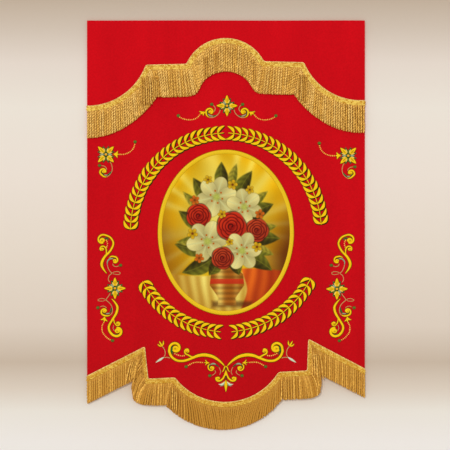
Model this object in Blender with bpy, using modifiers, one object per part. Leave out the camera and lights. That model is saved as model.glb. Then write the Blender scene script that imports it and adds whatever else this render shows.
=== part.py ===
"""Devotional hanging flag: a red cloth panel with two gold fringes and an oval picture patch.

Metres, +Z up. The flag hangs with its face towards -Y. The origin is the middle of its top edge.
"""
import math
import random
from collections import namedtuple

import bmesh
import bpy
from mathutils import Matrix, Vector

OBJECT_NAME = "devotional_flag"

# Cloth panel
PANEL_WIDTH = 1.000
PANEL_THICKNESS = 0.0020
PANEL_CELL = 0.040
HEM_UNDER_HEADING = 0.011

# Fringe: a woven heading with locks of cord hanging from its lower side
HEADING_WIDTH = 0.021
FRINGE_THICKNESS = 0.0024
LOCK_PITCH = 0.0092
LOCK_FILL = 0.82
LOCK_TIP_TAPER = 0.88
LOCK_UNEVENNESS = 0.0015

# Where the heading turns upright its locks are bunched in front of the neighbouring ones
BUNCH_PITCH = 0.0120
BUNCH_LEVELS = (0.24, 0.60, 1.0)
PLAIN_LEVELS = (0.5, 1.0)
BARE_NEAR_BUNCH = 0.010

# Oval patch and its raised edging
MEDALLION_CENTRE = (0.000, -0.763)
MEDALLION_RADII = (0.2455, 0.2985)
MEDALLION_THICKNESS = 0.0015
BORDER_WIDTH = 0.0170
BORDER_THICKNESS = 0.0020
OVAL_POINTS = 80

# Pieces sewn on lie this far off the cloth behind them
CLEARANCE = 0.0005

# Soft standing waves of the hanging cloth
WAVE_TOP = 0.0012
WAVE_GAIN = 0.0022
WAVE_LENGTH = 0.56
WAVE_DRIFT = 0.16
SWAY_DEPTH = 0.0018
SWAY_LENGTH = 1.30

# Lines of the fringes, from the left side of the flag to the right.
# x, z          end of the section
# rise          height of the arc's middle above its chord, 0 for a straight run
# lock          length of the locks below the heading
# lean_from, to sideways swing of the lock tips at the section's start and end
# forward       how far the locks stand in front of their neighbours
Section = namedtuple("Section", "x z rise lock lean_from lean_to forward")

UPPER_START = (-0.500, -0.307)
UPPER_SECTIONS = (
    Section(-0.288, -0.160, -0.041, 0.096, 0.000, 0.030, 0.0),
    Section(-0.145, -0.157, 0.000, 0.098, 0.030, 0.024, 0.0),
    Section(0.137, -0.147, 0.089, 0.100, 0.024, -0.022, 0.0),
    Section(0.281, -0.151, 0.000, 0.098, -0.022, -0.024, 0.0),
    Section(0.500, -0.287, -0.037, 0.097, -0.024, 0.000, 0.0),
)

LOWER_START = (-0.500, -1.279)
LOWER_SECTIONS = (
    Section(-0.294, -1.173, 0.000, 0.081, 0.000, 0.000, 0.0),
    Section(-0.279, -1.288, 0.000, 0.080, -0.036, -0.030, 0.005),
    Section(-0.183, -1.284, 0.000, 0.085, -0.030, -0.030, 0.0),
    Section(0.189, -1.265, -0.099, 0.079, -0.030, 0.012, 0.0),
    Section(0.292, -1.259, 0.000, 0.082, 0.012, 0.016, 0.0),
    Section(0.296, -1.145, 0.000, 0.085, 0.020, 0.034, 0.005),
    Section(0.500, -1.253, 0.000, 0.083, 0.000, 0.000, 0.0),
)

DOWN = Vector((0.0, -1.0))
ARC_STEPS = 20
CUTTER_DEPTH = 0.2
CUT_MARGIN = PANEL_CELL / 2

# Finishes: linear colour and roughness
RED_CLOTH = ((0.578, 0.006, 0.011), 0.85)
GOLD_CORD = ((0.550, 0.280, 0.060), 0.45)
PICTURE_CLOTH = ((0.600, 0.330, 0.050), 0.70)
YELLOW_BRAID = ((0.800, 0.560, 0.020), 0.50)


def wave(x, z):
    """Depth of the hanging cloth's surface at a place on the flag; it grows towards the hem."""
    fall = -z
    ripple = (WAVE_TOP + WAVE_GAIN * fall) * math.sin(math.tau * (x / WAVE_LENGTH + WAVE_DRIFT * fall))
    sway = SWAY_DEPTH * fall * math.sin(math.tau * fall / SWAY_LENGTH)
    return ripple + sway


class Run:
    """One section of a fringe line, straight or an arc, as points (x, z) for t from 0 to 1."""

    def __init__(self, start, section):
        self.start = Vector(start)
        self.end = Vector((section.x, section.z))
        self.section = section
        chord = self.end - self.start
        self.half = chord.length / 2
        self.along = chord.normalized()
        self.up = Vector((-self.along.y, self.along.x))
        self.side = math.copysign(1.0, section.rise)
        self.spread = 2 * math.atan(abs(section.rise) / self.half)

    def angle(self, t):
        return (2 * t - 1) * self.spread

    def point(self, t):
        if self.spread == 0:
            return self.start.lerp(self.end, t)
        radius = self.half / math.sin(self.spread)
        reach = self.half + radius * math.sin(self.angle(t))
        height = radius * (math.cos(self.angle(t)) - math.cos(self.spread)) * self.side
        return self.start + self.along * reach + self.up * height

    def outward(self, t):
        """Unit vector across the line, to the side where the locks hang."""
        turn = self.angle(t) * self.side
        return (self.up * -math.cos(turn) - self.along * math.sin(turn)).normalized()

    def onward(self, t):
        """Unit vector along the line."""
        across = self.outward(t)
        return Vector((-across.y, across.x))

    def length(self):
        if self.spread == 0:
            return 2 * self.half
        return 2 * self.spread * self.half / math.sin(self.spread)


def runs_of(start, sections):
    runs = []
    for section in sections:
        runs.append(Run(start, section))
        start = (section.x, section.z)
    return runs


def corner_offsets(runs, width):
    """Mitred offset of each joint between the runs; the two ends are cut upright at the flag's sides."""
    first, last = runs[0].outward(0), runs[-1].outward(1)
    offsets = [DOWN * width / abs(first.y)]
    for before, after in zip(runs, runs[1:]):
        across, next_across = before.outward(1), after.outward(0)
        middle = (across + next_across).normalized()
        offsets.append(middle * width / middle.dot(across))
    offsets.append(DOWN * width / abs(last.y))
    return offsets


def offset_point(run, t, width, offset_from, offset_to):
    """The run's point moved out by the width, and slipped along the line to meet the mitred corners."""
    slip = offset_from.dot(run.onward(0)) * (1 - t) + offset_to.dot(run.onward(1)) * t
    return run.point(t) + run.outward(t) * width + run.onward(t) * slip


def line_points(runs, width):
    """The whole line, moved out by the width, as a list of points."""
    offsets = corner_offsets(runs, width)
    points = []
    for number, run in enumerate(runs):
        steps = ARC_STEPS if run.spread else 1
        for step in range(steps):
            points.append(offset_point(run, step / steps, width, offsets[number], offsets[number + 1]))
    points.append(runs[-1].end + offsets[-1])
    return points


def material(name, finish):
    colour, roughness = finish
    made = bpy.data.materials.new(name)
    made.use_nodes = True
    shader = made.node_tree.nodes["Principled BSDF"]
    shader.inputs["Base Color"].default_value = (*colour, 1.0)
    shader.inputs["Roughness"].default_value = roughness
    shader.inputs["Metallic"].default_value = 0.0
    return made


def add_object(name, mesh, collection, finish=None):
    made = bpy.data.objects.new(name, mesh)
    collection.objects.link(made)
    if finish:
        mesh.materials.append(finish)
    return made


def flat_plate(name, loops, thickness, collection):
    """A plate with the outline of the loops, standing in the XZ plane, as a welded mesh."""
    curve = bpy.data.curves.new(name, "CURVE")
    curve.dimensions = "2D"
    curve.fill_mode = "BOTH"
    curve.extrude = thickness / 2
    for loop in loops:
        spline = curve.splines.new("POLY")
        spline.points.add(len(loop) - 1)
        for target, (x, z) in zip(spline.points, loop):
            target.co = (x, z, 0.0, 1.0)
        spline.use_cyclic_u = True
    holder = bpy.data.objects.new(name + "_outline", curve)
    collection.objects.link(holder)
    evaluated = holder.evaluated_get(bpy.context.evaluated_depsgraph_get())
    mesh = bpy.data.meshes.new_from_object(evaluated)
    bpy.data.objects.remove(holder)
    bpy.data.curves.remove(curve)
    mesh.name = name
    mesh.transform(Matrix.Rotation(math.radians(90), 4, "X"))
    bm = bmesh.new()
    bm.from_mesh(mesh)
    bmesh.ops.remove_doubles(bm, verts=bm.verts, dist=0.00001)
    bm.to_mesh(mesh)
    bm.free()
    return mesh


def oval(radii, count=OVAL_POINTS):
    centre_x, centre_z = MEDALLION_CENTRE
    turns = [math.tau * step / count for step in range(count)]
    return [(centre_x + radii[0] * math.cos(a), centre_z + radii[1] * math.sin(a)) for a in turns]


def cloth_sheet(name, low, high, back, thickness, cutter, collection, finish):
    """Waved cloth between two corners (x, z), cut to the cutter's outline; back is its rear face's depth."""
    width, height = high[0] - low[0], high[1] - low[1]
    bm = bmesh.new()
    bmesh.ops.create_grid(
        bm,
        x_segments=round(width / PANEL_CELL),
        y_segments=round(height / PANEL_CELL),
        size=0.5,
    )
    for vert in bm.verts:
        x = low[0] + width * (vert.co.x + 0.5)
        z = low[1] + height * (vert.co.y + 0.5)
        vert.co = (x, wave(x, z) - back, z)
    mesh = bpy.data.meshes.new(name)
    bm.to_mesh(mesh)
    bm.free()
    sheet = add_object(name, mesh, collection, finish)
    solid = sheet.modifiers.new("thickness", "SOLIDIFY")
    solid.thickness = thickness
    solid.offset = 1.0
    cut = sheet.modifiers.new("cut to shape", "BOOLEAN")
    cut.operation = "INTERSECT"
    cut.object = cutter
    return sheet


def add_cutter(name, outline, cutters):
    cutter = add_object(name, flat_plate(name, [outline], CUTTER_DEPTH, cutters), cutters)
    cutter.hide_render = True
    cutter.display_type = "WIRE"
    return cutter


def make_panel(parts, cutters, finish):
    """The red cloth. Its hem follows the lower fringe's line, tucked under the heading."""
    half = PANEL_WIDTH / 2
    hem = line_points(runs_of(LOWER_START, LOWER_SECTIONS), HEM_UNDER_HEADING)
    outline = [(half, 0.0), (-half, 0.0)] + [tuple(point) for point in hem]
    cutter = add_cutter("panel_cutter", outline, cutters)
    lowest = min(point.y for point in hem)
    cloth_sheet(
        "panel",
        (-half - CUT_MARGIN, lowest - CUT_MARGIN),
        (half + CUT_MARGIN, CUT_MARGIN),
        -PANEL_THICKNESS / 2,
        PANEL_THICKNESS,
        cutter,
        parts,
        finish,
    )


def make_medallion(parts, cutters, finish):
    """The oval picture patch, sewn flat on the cloth."""
    cutter = add_cutter("medallion_cutter", oval(MEDALLION_RADII), cutters)
    reach = [radius + CUT_MARGIN for radius in MEDALLION_RADII]
    cloth_sheet(
        "medallion",
        (MEDALLION_CENTRE[0] - reach[0], MEDALLION_CENTRE[1] - reach[1]),
        (MEDALLION_CENTRE[0] + reach[0], MEDALLION_CENTRE[1] + reach[1]),
        PANEL_THICKNESS / 2 + CLEARANCE,
        MEDALLION_THICKNESS,
        cutter,
        parts,
        finish,
    )


def make_border(parts, cutters, finish):
    """The raised edging round the patch, over its rim."""
    inner = [radius - BORDER_WIDTH for radius in MEDALLION_RADII]
    mesh = flat_plate("medallion_border", [oval(MEDALLION_RADII), oval(inner)], BORDER_THICKNESS, cutters)
    middle = PANEL_THICKNESS / 2 + CLEARANCE + MEDALLION_THICKNESS + CLEARANCE + BORDER_THICKNESS / 2
    for vert in mesh.vertices:
        vert.co.y += wave(vert.co.x, vert.co.z) - middle
    add_object("medallion_border", mesh, parts, finish)


class Fringe:
    """A heading strip along a line, with its locks fused to the lower side, built as one sheet of faces."""

    def __init__(self, start, sections, seed):
        self.runs = runs_of(start, sections)
        self.offsets = corner_offsets(self.runs, HEADING_WIDTH)
        self.unevenness = random.Random(seed)
        self.bm = bmesh.new()

    def vertex(self, place, forward=0.0):
        rear = PANEL_THICKNESS / 2 + CLEARANCE
        return self.bm.verts.new((place.x, wave(place.x, place.y) - rear - forward, place.y))

    def station(self, number, t):
        """The vertices of the heading's upper and lower side at one place."""
        run = self.runs[number]
        low = offset_point(run, t, HEADING_WIDTH, self.offsets[number], self.offsets[number + 1])
        return self.vertex(run.point(t)), self.vertex(low)

    def has_lock(self, number, t):
        """False beside a peak, where the locks of a bunch start."""
        run = self.runs[number]
        if run.section.forward:
            return True
        for other, own_end, other_end in ((number - 1, 0, 1), (number + 1, 1, 0)):
            if not 0 <= other < len(self.runs) or not self.runs[other].section.forward:
                continue
            folds_back = run.outward(own_end).dot(self.runs[other].outward(other_end)) < 0
            if folds_back and abs(t - own_end) * run.length() < BARE_NEAR_BUNCH:
                return False
        return True

    def hang_lock(self, root, section, t):
        """One lock of cords: faces hung from the two root vertices, narrowing to the tip."""
        lean = section.lean_from + (section.lean_to - section.lean_from) * t
        reach = section.lock + self.unevenness.uniform(-LOCK_UNEVENNESS, LOCK_UNEVENNESS)
        swing = Vector((lean, -math.sqrt(reach**2 - lean**2)))
        left, right = [Vector((vert.co.x, vert.co.z)) for vert in root]
        levels = BUNCH_LEVELS if section.forward else PLAIN_LEVELS
        above = root
        for level in levels:
            narrow = (1 - LOCK_TIP_TAPER) * level / 2
            forward = section.forward * min(1.0, level / levels[0])
            below = [
                self.vertex(left.lerp(right, narrow) + swing * level, forward),
                self.vertex(right.lerp(left, narrow) + swing * level, forward),
            ]
            self.bm.faces.new((above[0], below[0], below[1], above[1]))
            above = below

    def sheet(self, name):
        before = self.station(0, 0.0)
        for number, run in enumerate(self.runs):
            count = round(run.length() / (BUNCH_PITCH if run.section.forward else LOCK_PITCH))
            for lock in range(count):
                middle = (lock + 0.5) / count
                for edge in (-0.5, 0.5):
                    after = self.station(number, middle + edge * LOCK_FILL / count)
                    self.bm.faces.new((before[0], before[1], after[1], after[0]))
                    root, before = (before[1], after[1]), after
                if self.has_lock(number, middle):
                    self.hang_lock(root, run.section, middle)
            after = self.station(number, 1.0)
            self.bm.faces.new((before[0], before[1], after[1], after[0]))
            before = after
        mesh = bpy.data.meshes.new(name)
        self.bm.to_mesh(mesh)
        self.bm.free()
        return mesh


def make_fringe(name, start, sections, seed, parts, finish):
    """The fringe's sheet, thickened towards the flag's face."""
    fringe = add_object(name, Fringe(start, sections, seed).sheet(name), parts, finish)
    solid = fringe.modifiers.new("thickness", "SOLIDIFY")
    solid.thickness = FRINGE_THICKNESS
    solid.offset = 1.0


def main():
    for old in list(bpy.data.objects):
        bpy.data.objects.remove(old)
    parts = bpy.data.collections.new(OBJECT_NAME)
    cutters = bpy.data.collections.new("cutters")
    for collection in (parts, cutters):
        bpy.context.scene.collection.children.link(collection)

    red_cloth = material("red_cloth", RED_CLOTH)
    gold_cord = material("gold_cord", GOLD_CORD)
    picture_cloth = material("picture_cloth", PICTURE_CLOTH)
    yellow_braid = material("yellow_braid", YELLOW_BRAID)

    make_panel(parts, cutters, red_cloth)
    make_medallion(parts, cutters, picture_cloth)
    make_border(parts, cutters, yellow_braid)
    make_fringe("upper_fringe", UPPER_START, UPPER_SECTIONS, 3, parts, gold_cord)
    make_fringe("lower_fringe", LOWER_START, LOWER_SECTIONS, 5, parts, gold_cord)


main()
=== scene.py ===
"""A hanging devotional flag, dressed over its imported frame: red cloth with two gold fringes,
an oval picture, gold embroidery and a leaf garland.

Metres, +Z up, the face towards -Y, the origin in the middle of the top edge."""

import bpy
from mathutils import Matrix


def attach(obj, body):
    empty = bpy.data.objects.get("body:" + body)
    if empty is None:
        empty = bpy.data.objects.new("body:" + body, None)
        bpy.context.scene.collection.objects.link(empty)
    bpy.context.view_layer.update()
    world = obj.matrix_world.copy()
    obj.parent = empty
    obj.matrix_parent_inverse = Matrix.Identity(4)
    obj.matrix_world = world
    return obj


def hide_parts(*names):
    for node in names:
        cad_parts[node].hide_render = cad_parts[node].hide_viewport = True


bl_info = {
    "name": "Devotional Flag",
    "version": (1, 0, 0),
    "blender": (4, 5, 0),
    "location": "3D View > Sidebar > Flag",
    "description": "Makes a hanging cloth flag with fringes, embroidery and an oval picture",
    "category": "Object",
}

import math
from collections import namedtuple

import bpy
import numpy as np
from bpy.props import FloatProperty, FloatVectorProperty, IntProperty, PointerProperty
from mathutils import Vector

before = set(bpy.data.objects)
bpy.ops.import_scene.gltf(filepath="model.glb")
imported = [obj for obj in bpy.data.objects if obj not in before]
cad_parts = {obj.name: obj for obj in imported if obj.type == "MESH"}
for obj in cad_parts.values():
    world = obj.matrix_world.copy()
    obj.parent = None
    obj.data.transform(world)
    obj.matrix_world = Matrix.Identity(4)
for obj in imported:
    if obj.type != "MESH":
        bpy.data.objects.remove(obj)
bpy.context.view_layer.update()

# The hanging cloth's soft waves, as in the solid model
WAVE_TOP = 0.0012
WAVE_GAIN = 0.0022
WAVE_LENGTH = 0.56
WAVE_DRIFT = 0.16
SWAY_DEPTH = 0.0018
SWAY_LENGTH = 1.30

# Panel and headings
HALF_WIDTH = 0.500
CLOTH_FRONT = 0.0010
HEM_UNDER_HEADING = 0.011
HEADING_WIDTH = 0.021
HEADING_LIFT = 0.0004
HEADING_THICKNESS = 0.0024
# The heading's section, as shares of its width and its thickness
HEADING_PROFILE = (
    (0.0, 0.0), (0.0, 0.7), (0.06, 1.0), (0.25, 1.2), (0.5, 1.3), (0.75, 1.2), (0.94, 1.0), (1.0, 0.7),
    (1.0, 0.0),
)
# Rows of stitches on a heading: the distance of each below the top edge, and the slant of its stitches
STITCH_ROWS = ((0.0050, 0.8), (0.0105, -0.8), (0.0160, 0.8))
STITCH_DEPTH = 0.0032
STITCH_SPACING = 0.0040
STITCH_SIZE = (0.0086, 0.0022, 0.0036)
# Cords along a heading's two edges
EDGE_CORD_INSET = 0.0010
EDGE_CORD_DEPTHS = (0.0026, 0.0030)
EDGE_CORD_WIDTH = 0.0030
EDGE_CORD_LAY = 0.008
# The back row of hanging cords: how far it lies before the cloth, and how much darker it is painted, as
# painted shade behind the front row
BACK_ROW_LIFT = 0.0012
BACK_ROW_SHADE = 0.30

# Height that the cloth's rows of cells are counted on, and the length over which it darkens downwards
MESH_HEIGHT = 1.33
DARKENING_LENGTH = 1.45
# The turned hem at the back: how deep it sits in the cloth, and its seam's inset from its inner edge
HEM_SUNK = 0.0002
SEAM_INSET = 0.003
SEAM_SPACING = 0.0060
SEAM_STITCH = (0.0042, 0.0009, 0.0010)

# Oval picture
OVAL_CENTRE = (0.000, -0.763)
OVAL_RADII = (0.2455, 0.2985)
BORDER_WIDTH = 0.0170

# Stage: the photo's scale in metres a pixel, and the view's centre from the middle of the flag's top edge
PIXEL = 0.0036
VIEW_CENTRE = ((225 - 225.9) * PIXEL, -(225 - 20.5) * PIXEL)
SENSOR_WIDTH = 36.0
FLOOR_LEVEL = -1.6
WALL_TOP = 4.4

# Lines of the fringes from the left side to the right. Each section ends at x, z.
# rise is the height of the arc's middle above its chord; lock is the length of the cords;
# lean_from and lean_to are the sideways swing of the tips; forward is how far the cords stand out;
# arch is how early they swing; soft rounds the line of tips at the section's end;
# tone makes its cords paler, or darker below 0; turn slants the cords towards the section's middle;
# taper makes them longer at its start than at its end.
Section = namedtuple(
    "Section", "x z rise lock lean_from lean_to forward arch soft tone turn taper", defaults=(0.0,) * 6)
UPPER_START = (-0.500, -0.307)
UPPER_SECTIONS = (
    Section(-0.288, -0.160, -0.041, 0.096, 0.000, 0.030),
    Section(-0.142, -0.157, 0.000, 0.098, 0.030, 0.020, soft=1.0),
    Section(0.137, -0.147, 0.088, 0.100, 0.026, -0.022, soft=1.0),
    Section(0.281, -0.151, 0.000, 0.098, -0.022, -0.024),
    Section(0.500, -0.287, -0.042, 0.097, -0.024, 0.000),
)
LOWER_START = (-0.500, -1.279)
LOWER_SECTIONS = (
    Section(-0.291, -1.172, 0.000, 0.079, 0.000, 0.000),
    Section(-0.283, -1.250, 0.000, 0.082, -0.026, -0.036, forward=0.003, arch=0.6),
    Section(-0.279, -1.288, 0.000, 0.083, -0.036, -0.040, forward=0.003, arch=0.6, soft=1.0),
    Section(-0.245, -1.287, 0.000, 0.079, -0.040, -0.004),
    Section(-0.183, -1.284, 0.000, 0.078, -0.004, -0.028),
    Section(0.189, -1.265, -0.099, 0.079, -0.023, 0.004, tone=-0.24, turn=0.028, taper=0.012),
    Section(0.256, -1.261, 0.000, 0.081, 0.007, 0.004),
    Section(0.292, -1.259, 0.000, 0.082, 0.004, 0.027, soft=1.0),
    Section(0.293, -1.225, 0.000, 0.084, 0.030, 0.030, forward=0.003, arch=0.9),
    Section(0.296, -1.145, 0.000, 0.084, 0.030, 0.022, forward=0.003, arch=0.9),
    Section(0.500, -1.253, 0.000, 0.083, 0.000, 0.000),
)
# Loose cords in front of a fringe's rows, hung side by side from start to end, with tone as in a section
Bunch = namedtuple("Bunch", "start end lean_from lean_to lock tone")
UPPER_BUNCHES = (
    Bunch((-0.302, -0.204), (-0.274, -0.196), 0.002, 0.008, 0.106, -0.10),
    Bunch((-0.266, -0.196), (-0.244, -0.199), 0.006, 0.002, 0.080, -0.14),
    Bunch((-0.078, -0.134), (-0.070, -0.128), 0.002, 0.002, 0.078, -0.12),
    Bunch((-0.040, -0.112), (-0.032, -0.110), 0.001, 0.001, 0.076, -0.12),
    Bunch((0.064, -0.110), (0.076, -0.114), -0.004, -0.006, 0.086, -0.12),
    Bunch((0.098, -0.134), (0.104, -0.140), -0.003, -0.003, 0.090, -0.12),
    Bunch((0.262, -0.182), (0.292, -0.200), -0.010, -0.004, 0.098, -0.14),
)
LOWER_BUNCHES = (
    Bunch((-0.336, -1.219), (-0.302, -1.203), -0.022, -0.026, 0.082, 0.20),
    Bunch((-0.199, -1.313), (-0.179, -1.319), 0.0, 0.002, 0.084, 0.12),
    Bunch((0.200, -1.286), (0.209, -1.284), 0.0, 0.0, 0.077, 0.20),
    Bunch((0.307, -1.176), (0.335, -1.191), 0.004, 0.013, 0.098, 0.20),
)
DOWN = Vector((0.0, -1.0))

# Roots of the cords: their distance inside the heading's lower edge, their depth before the cloth's middle,
# and on the steep parts their place across the heading as a share of its width
HEADING_OVERLAP = 0.0015
ROOT_DEPTH = CLOTH_FRONT + 0.0020
STEEP_ROOT_SHARE = 0.55
# Spacing of cords on the steep parts and on the short runs beside them, as shares of the usual spacing
STEEP_SPACING = 1.3
BESIDE_STEEP_SPACING = 0.52
SHORT_RUN = 0.05
# How far a section shapes its neighbour's cords, the least arch of turned cords, and rounds to smooth tips
NEIGHBOUR_REACH = 0.06
TURNED_ARCH = 0.3
TIP_ROUNDS = 11
# The values that shape loose cords, as in a section
BUNCH_SHAPE = {"forward": 0.0075, "arch": 0.4, "steep": 1.0, "sparse": 0.78}
# Chance differences between cords in depth and in length, and in tone where they swing early
CORD_DEPTHS = (-0.0005, 0.0007)
CORD_LENGTHS = (0.988, 1.004)
SWUNG_TONES = (-0.40, 0.30)
# Width of a cord's tip, and how much thinner the cords of the steep parts are, as shares of a cord's width
TIP_WIDTH = 0.35
STEEP_THINNING = 0.36
# The two-ply section's height as a share of its width, and the share by which the swept cord is flattened
PLY_HEIGHT = 0.72
FLATTENING = 0.42
# Step between the places that a heading's lines are made of
LINE_STEP = 0.0045

# Embroidery, in millimetres from the middle of the top edge.
# A scroll is a band of thread through places (x, z, width). Its volute, where it has one, is
# (centre x, centre z, outer radius, inner radius, starting angle, turn in degrees).
Scroll = namedtuple("Scroll", "thread body volute", defaults=(None,))
Petal = namedtuple("Petal", "thread base tip width bend", defaults=(0,))
Dot = namedtuple("Dot", "thread centre radius")
Chain = namedtuple("Chain", "thread places")
Flower = namedtuple("Flower", "centre radius turn")
SIDE_SPRAY = (
    Scroll("gold", ((-428, -912, 1.8), (-442, -893, 7.9), (-447, -875, 11.5), (-437, -852, 10.1),
        (-416, -829, 8.3), (-405, -803, 7.6), (-415, -782, 7.2)), (-445, -791, 21.6, 4.3, 57, 450)),
    Scroll("gold", ((-432, -843, 2.2), (-430, -832, 5), (-432, -820, 5.8)),
        (-445, -823, 11.8, 2.9, 50, 400)),
    Scroll("gold", ((-421, -854, 2.5), (-410, -849, 5.8), (-398, -851, 6.6)),
        (-400, -864, 13, 3.2, 68, -380)),
    Scroll("greygreen", ((-427, -880, 2.5), (-426, -867, 5.2), (-419, -859, 6.2), (-410, -857, 5.2),
        (-404, -858, 2))),
    Scroll("dark", ((-412, -857, 2.5), (-401, -859, 5.4), (-392, -866, 2))),
    Scroll("beige", ((-408, -875, 2.4), (-404, -883, 2.8), (-394, -886, 2.8), (-384, -883, 2.4))),
    Dot("green", (-379, -881), 6),
    Scroll("beige", ((-427, -878, 3), (-424, -890, 3), (-418, -902, 3), (-411, -910, 3), (-420, -919, 3),
        (-423, -932, 3), (-418, -943, 3))),
    Scroll("beige", ((-411, -910, 2.2), (-401, -905, 2.4), (-388, -904, 2.4), (-380, -909, 2.6),
        (-385, -914, 2.4), (-396, -914, 2.2), (-408, -911, 2))),
    Scroll("dark", ((-442, -785, 2.9), (-429, -784, 6.8), (-421, -792, 2.5))),
    Chain("peach", ((-430, -791), (-426, -803), (-429, -815))),
    Scroll("beige", ((-416, -982, 3), (-422, -992, 3), (-431, -1005, 3), (-422, -1014, 3), (-412, -1026, 3),
        (-408, -1042, 3), (-411, -1055, 3), (-419, -1062, 2.4))),
    Scroll("beige", ((-432, -1005, 2.2), (-442, -1001, 2.4), (-454, -1002, 2.4), (-461, -1007, 2.6),
        (-454, -1010, 2.4), (-442, -1010, 2.2), (-432, -1006, 2))),
    Scroll("gold", ((-414, -1059, 1.6), (-424, -1063, 5.6), (-437, -1062, 7)),
        (-437, -1047, 13.4, 3.8, 230, -380)),
    Scroll("dark", ((-412, -1031, 1.6), (-413, -1042, 6.2), (-417, -1051, 5), (-422, -1054, 2))),
    Scroll("greygreen", ((-416, -1053, 2), (-424, -1055, 5.6), (-432, -1055, 4))),
    Scroll("dark", ((-431, -1056, 2), (-437, -1054, 4.4), (-442, -1049, 1.8))),
    Dot("green", (-461, -1034), 6.2),
    Scroll("beige", ((-453, -1031, 2.6), (-443, -1028, 2.8), (-434, -1031, 2.8), (-429, -1036, 2.6))),
    Petal("gold", (-436, -1066), (-452, -1077), 7.2, 0.2),
    Petal("gold", (-436, -1066), (-438, -1087), 7.6),
    Petal("gold", (-436, -1066), (-425, -1083), 7.2, -0.2),
    Chain("peach", ((-440, -1088), (-445, -1098), (-446, -1111), (-443, -1124), (-437, -1132), (-429, -1141),
        (-417, -1149))),
    Dot("green", (-408, -1152), 6.1),
    Scroll("gold", ((-412, -1001, 1.8), (-402, -1011, 6), (-393, -1024, 8.6), (-390, -1036, 9.8),
        (-395, -1055, 9.6), (-409, -1078, 8.8), (-421, -1100, 9), (-419, -1117, 9.4), (-411, -1128, 10)),
        (-390, -1117, 21.5, 5, 228, 415)),
    Scroll("dark", ((-410, -1126, 2.2), (-399, -1131, 5.4), (-382, -1131, 2.2))),
    Scroll("gold", ((-403, -1066, 2.2), (-403, -1080, 4.5), (-399, -1091, 5)),
        (-388, -1089, 10.2, 2.9, -112, 330)),
    Scroll("beige", ((-403, -1096, 2.2), (-406, -1107, 2.6), (-401, -1118, 2.2))),
)
CORNER_SPRAY = (
    Petal("gold", (-405, -481), (-389, -469), 8.6, -0.22),
    Petal("gold", (-405, -481), (-384, -482), 9.4),
    Petal("gold", (-405, -481), (-391, -495), 8.6, 0.22),
    Chain("peach", ((-381, -482), (-370, -482), (-357, -479), (-344, -472), (-333, -460), (-328, -446))),
    Dot("green", (-327, -437), 6.1),
    Scroll("beige", ((-417, -508, 2.8), (-412, -518, 3), (-409, -531, 3), (-411, -544, 3), (-419, -556, 3),
        (-431, -564, 2.8), (-438, -565, 2.4))),
    Scroll("gold", ((-428, -563, 2), (-439, -562, 5.6), (-449, -554, 7)), (-440, -544, 14, 4.2, 200, -340)),
    Scroll("dark", ((-412, -542, 2), (-416, -549, 6.4), (-424, -555, 5), (-431, -557, 2))),
    Scroll("greygreen", ((-425, -556, 2), (-432, -557, 6), (-439, -556, 3))),
    Scroll("dark", ((-438, -556, 2), (-444, -553, 4.8), (-448, -547, 2))),
    Dot("green", (-455, -522), 6.3),
    Scroll("beige", ((-449, -522, 2.6), (-439, -524, 2.8), (-432, -529, 2.8), (-429, -538, 2.6))),
)
TOP_SPRAY = (
    Scroll("beige", ((-20, -320, 2.9), (-24, -332, 3), (-34, -343, 3.2), (-46, -349, 3.2), (-58, -349, 3),
        (-66, -344, 2.6))),
    Scroll("gold", ((-58, -350, 2), (-67, -344, 5), (-71, -335, 7)), (-56, -329, 15, 4.3, 170, -370)),
    Scroll("greygreen", ((-65, -336, 1.6), (-60, -341, 5.2), (-52, -344, 5.2), (-44, -345, 2.4))),
    Scroll("dark", ((-51, -343, 2), (-43, -344, 5.4), (-35, -340, 1.8))),
    Scroll("dark", ((-65, -322, 1.6), (-67, -331, 4.6), (-63, -339, 2))),
    Dot("green", (-51, -302), 6.2),
    Scroll("beige", ((-47, -305, 2.6), (-42, -309, 2.9), (-38, -316, 2.9), (-40, -324, 2.9),
        (-46, -331, 2.6))),
    Petal("gold", (-74, -329), (-97, -326), 7.2, 0.15),
    Petal("gold", (-74, -329), (-94, -338), 7.2),
    Petal("gold", (-74, -329), (-81, -344), 7.2, -0.2),
    Chain("peach", ((-95, -341), (-102, -349), (-113, -355), (-129, -358), (-147, -356), (-159, -352),
        (-166, -348))),
    Dot("green", (-171, -343), 6.1),
)
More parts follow.
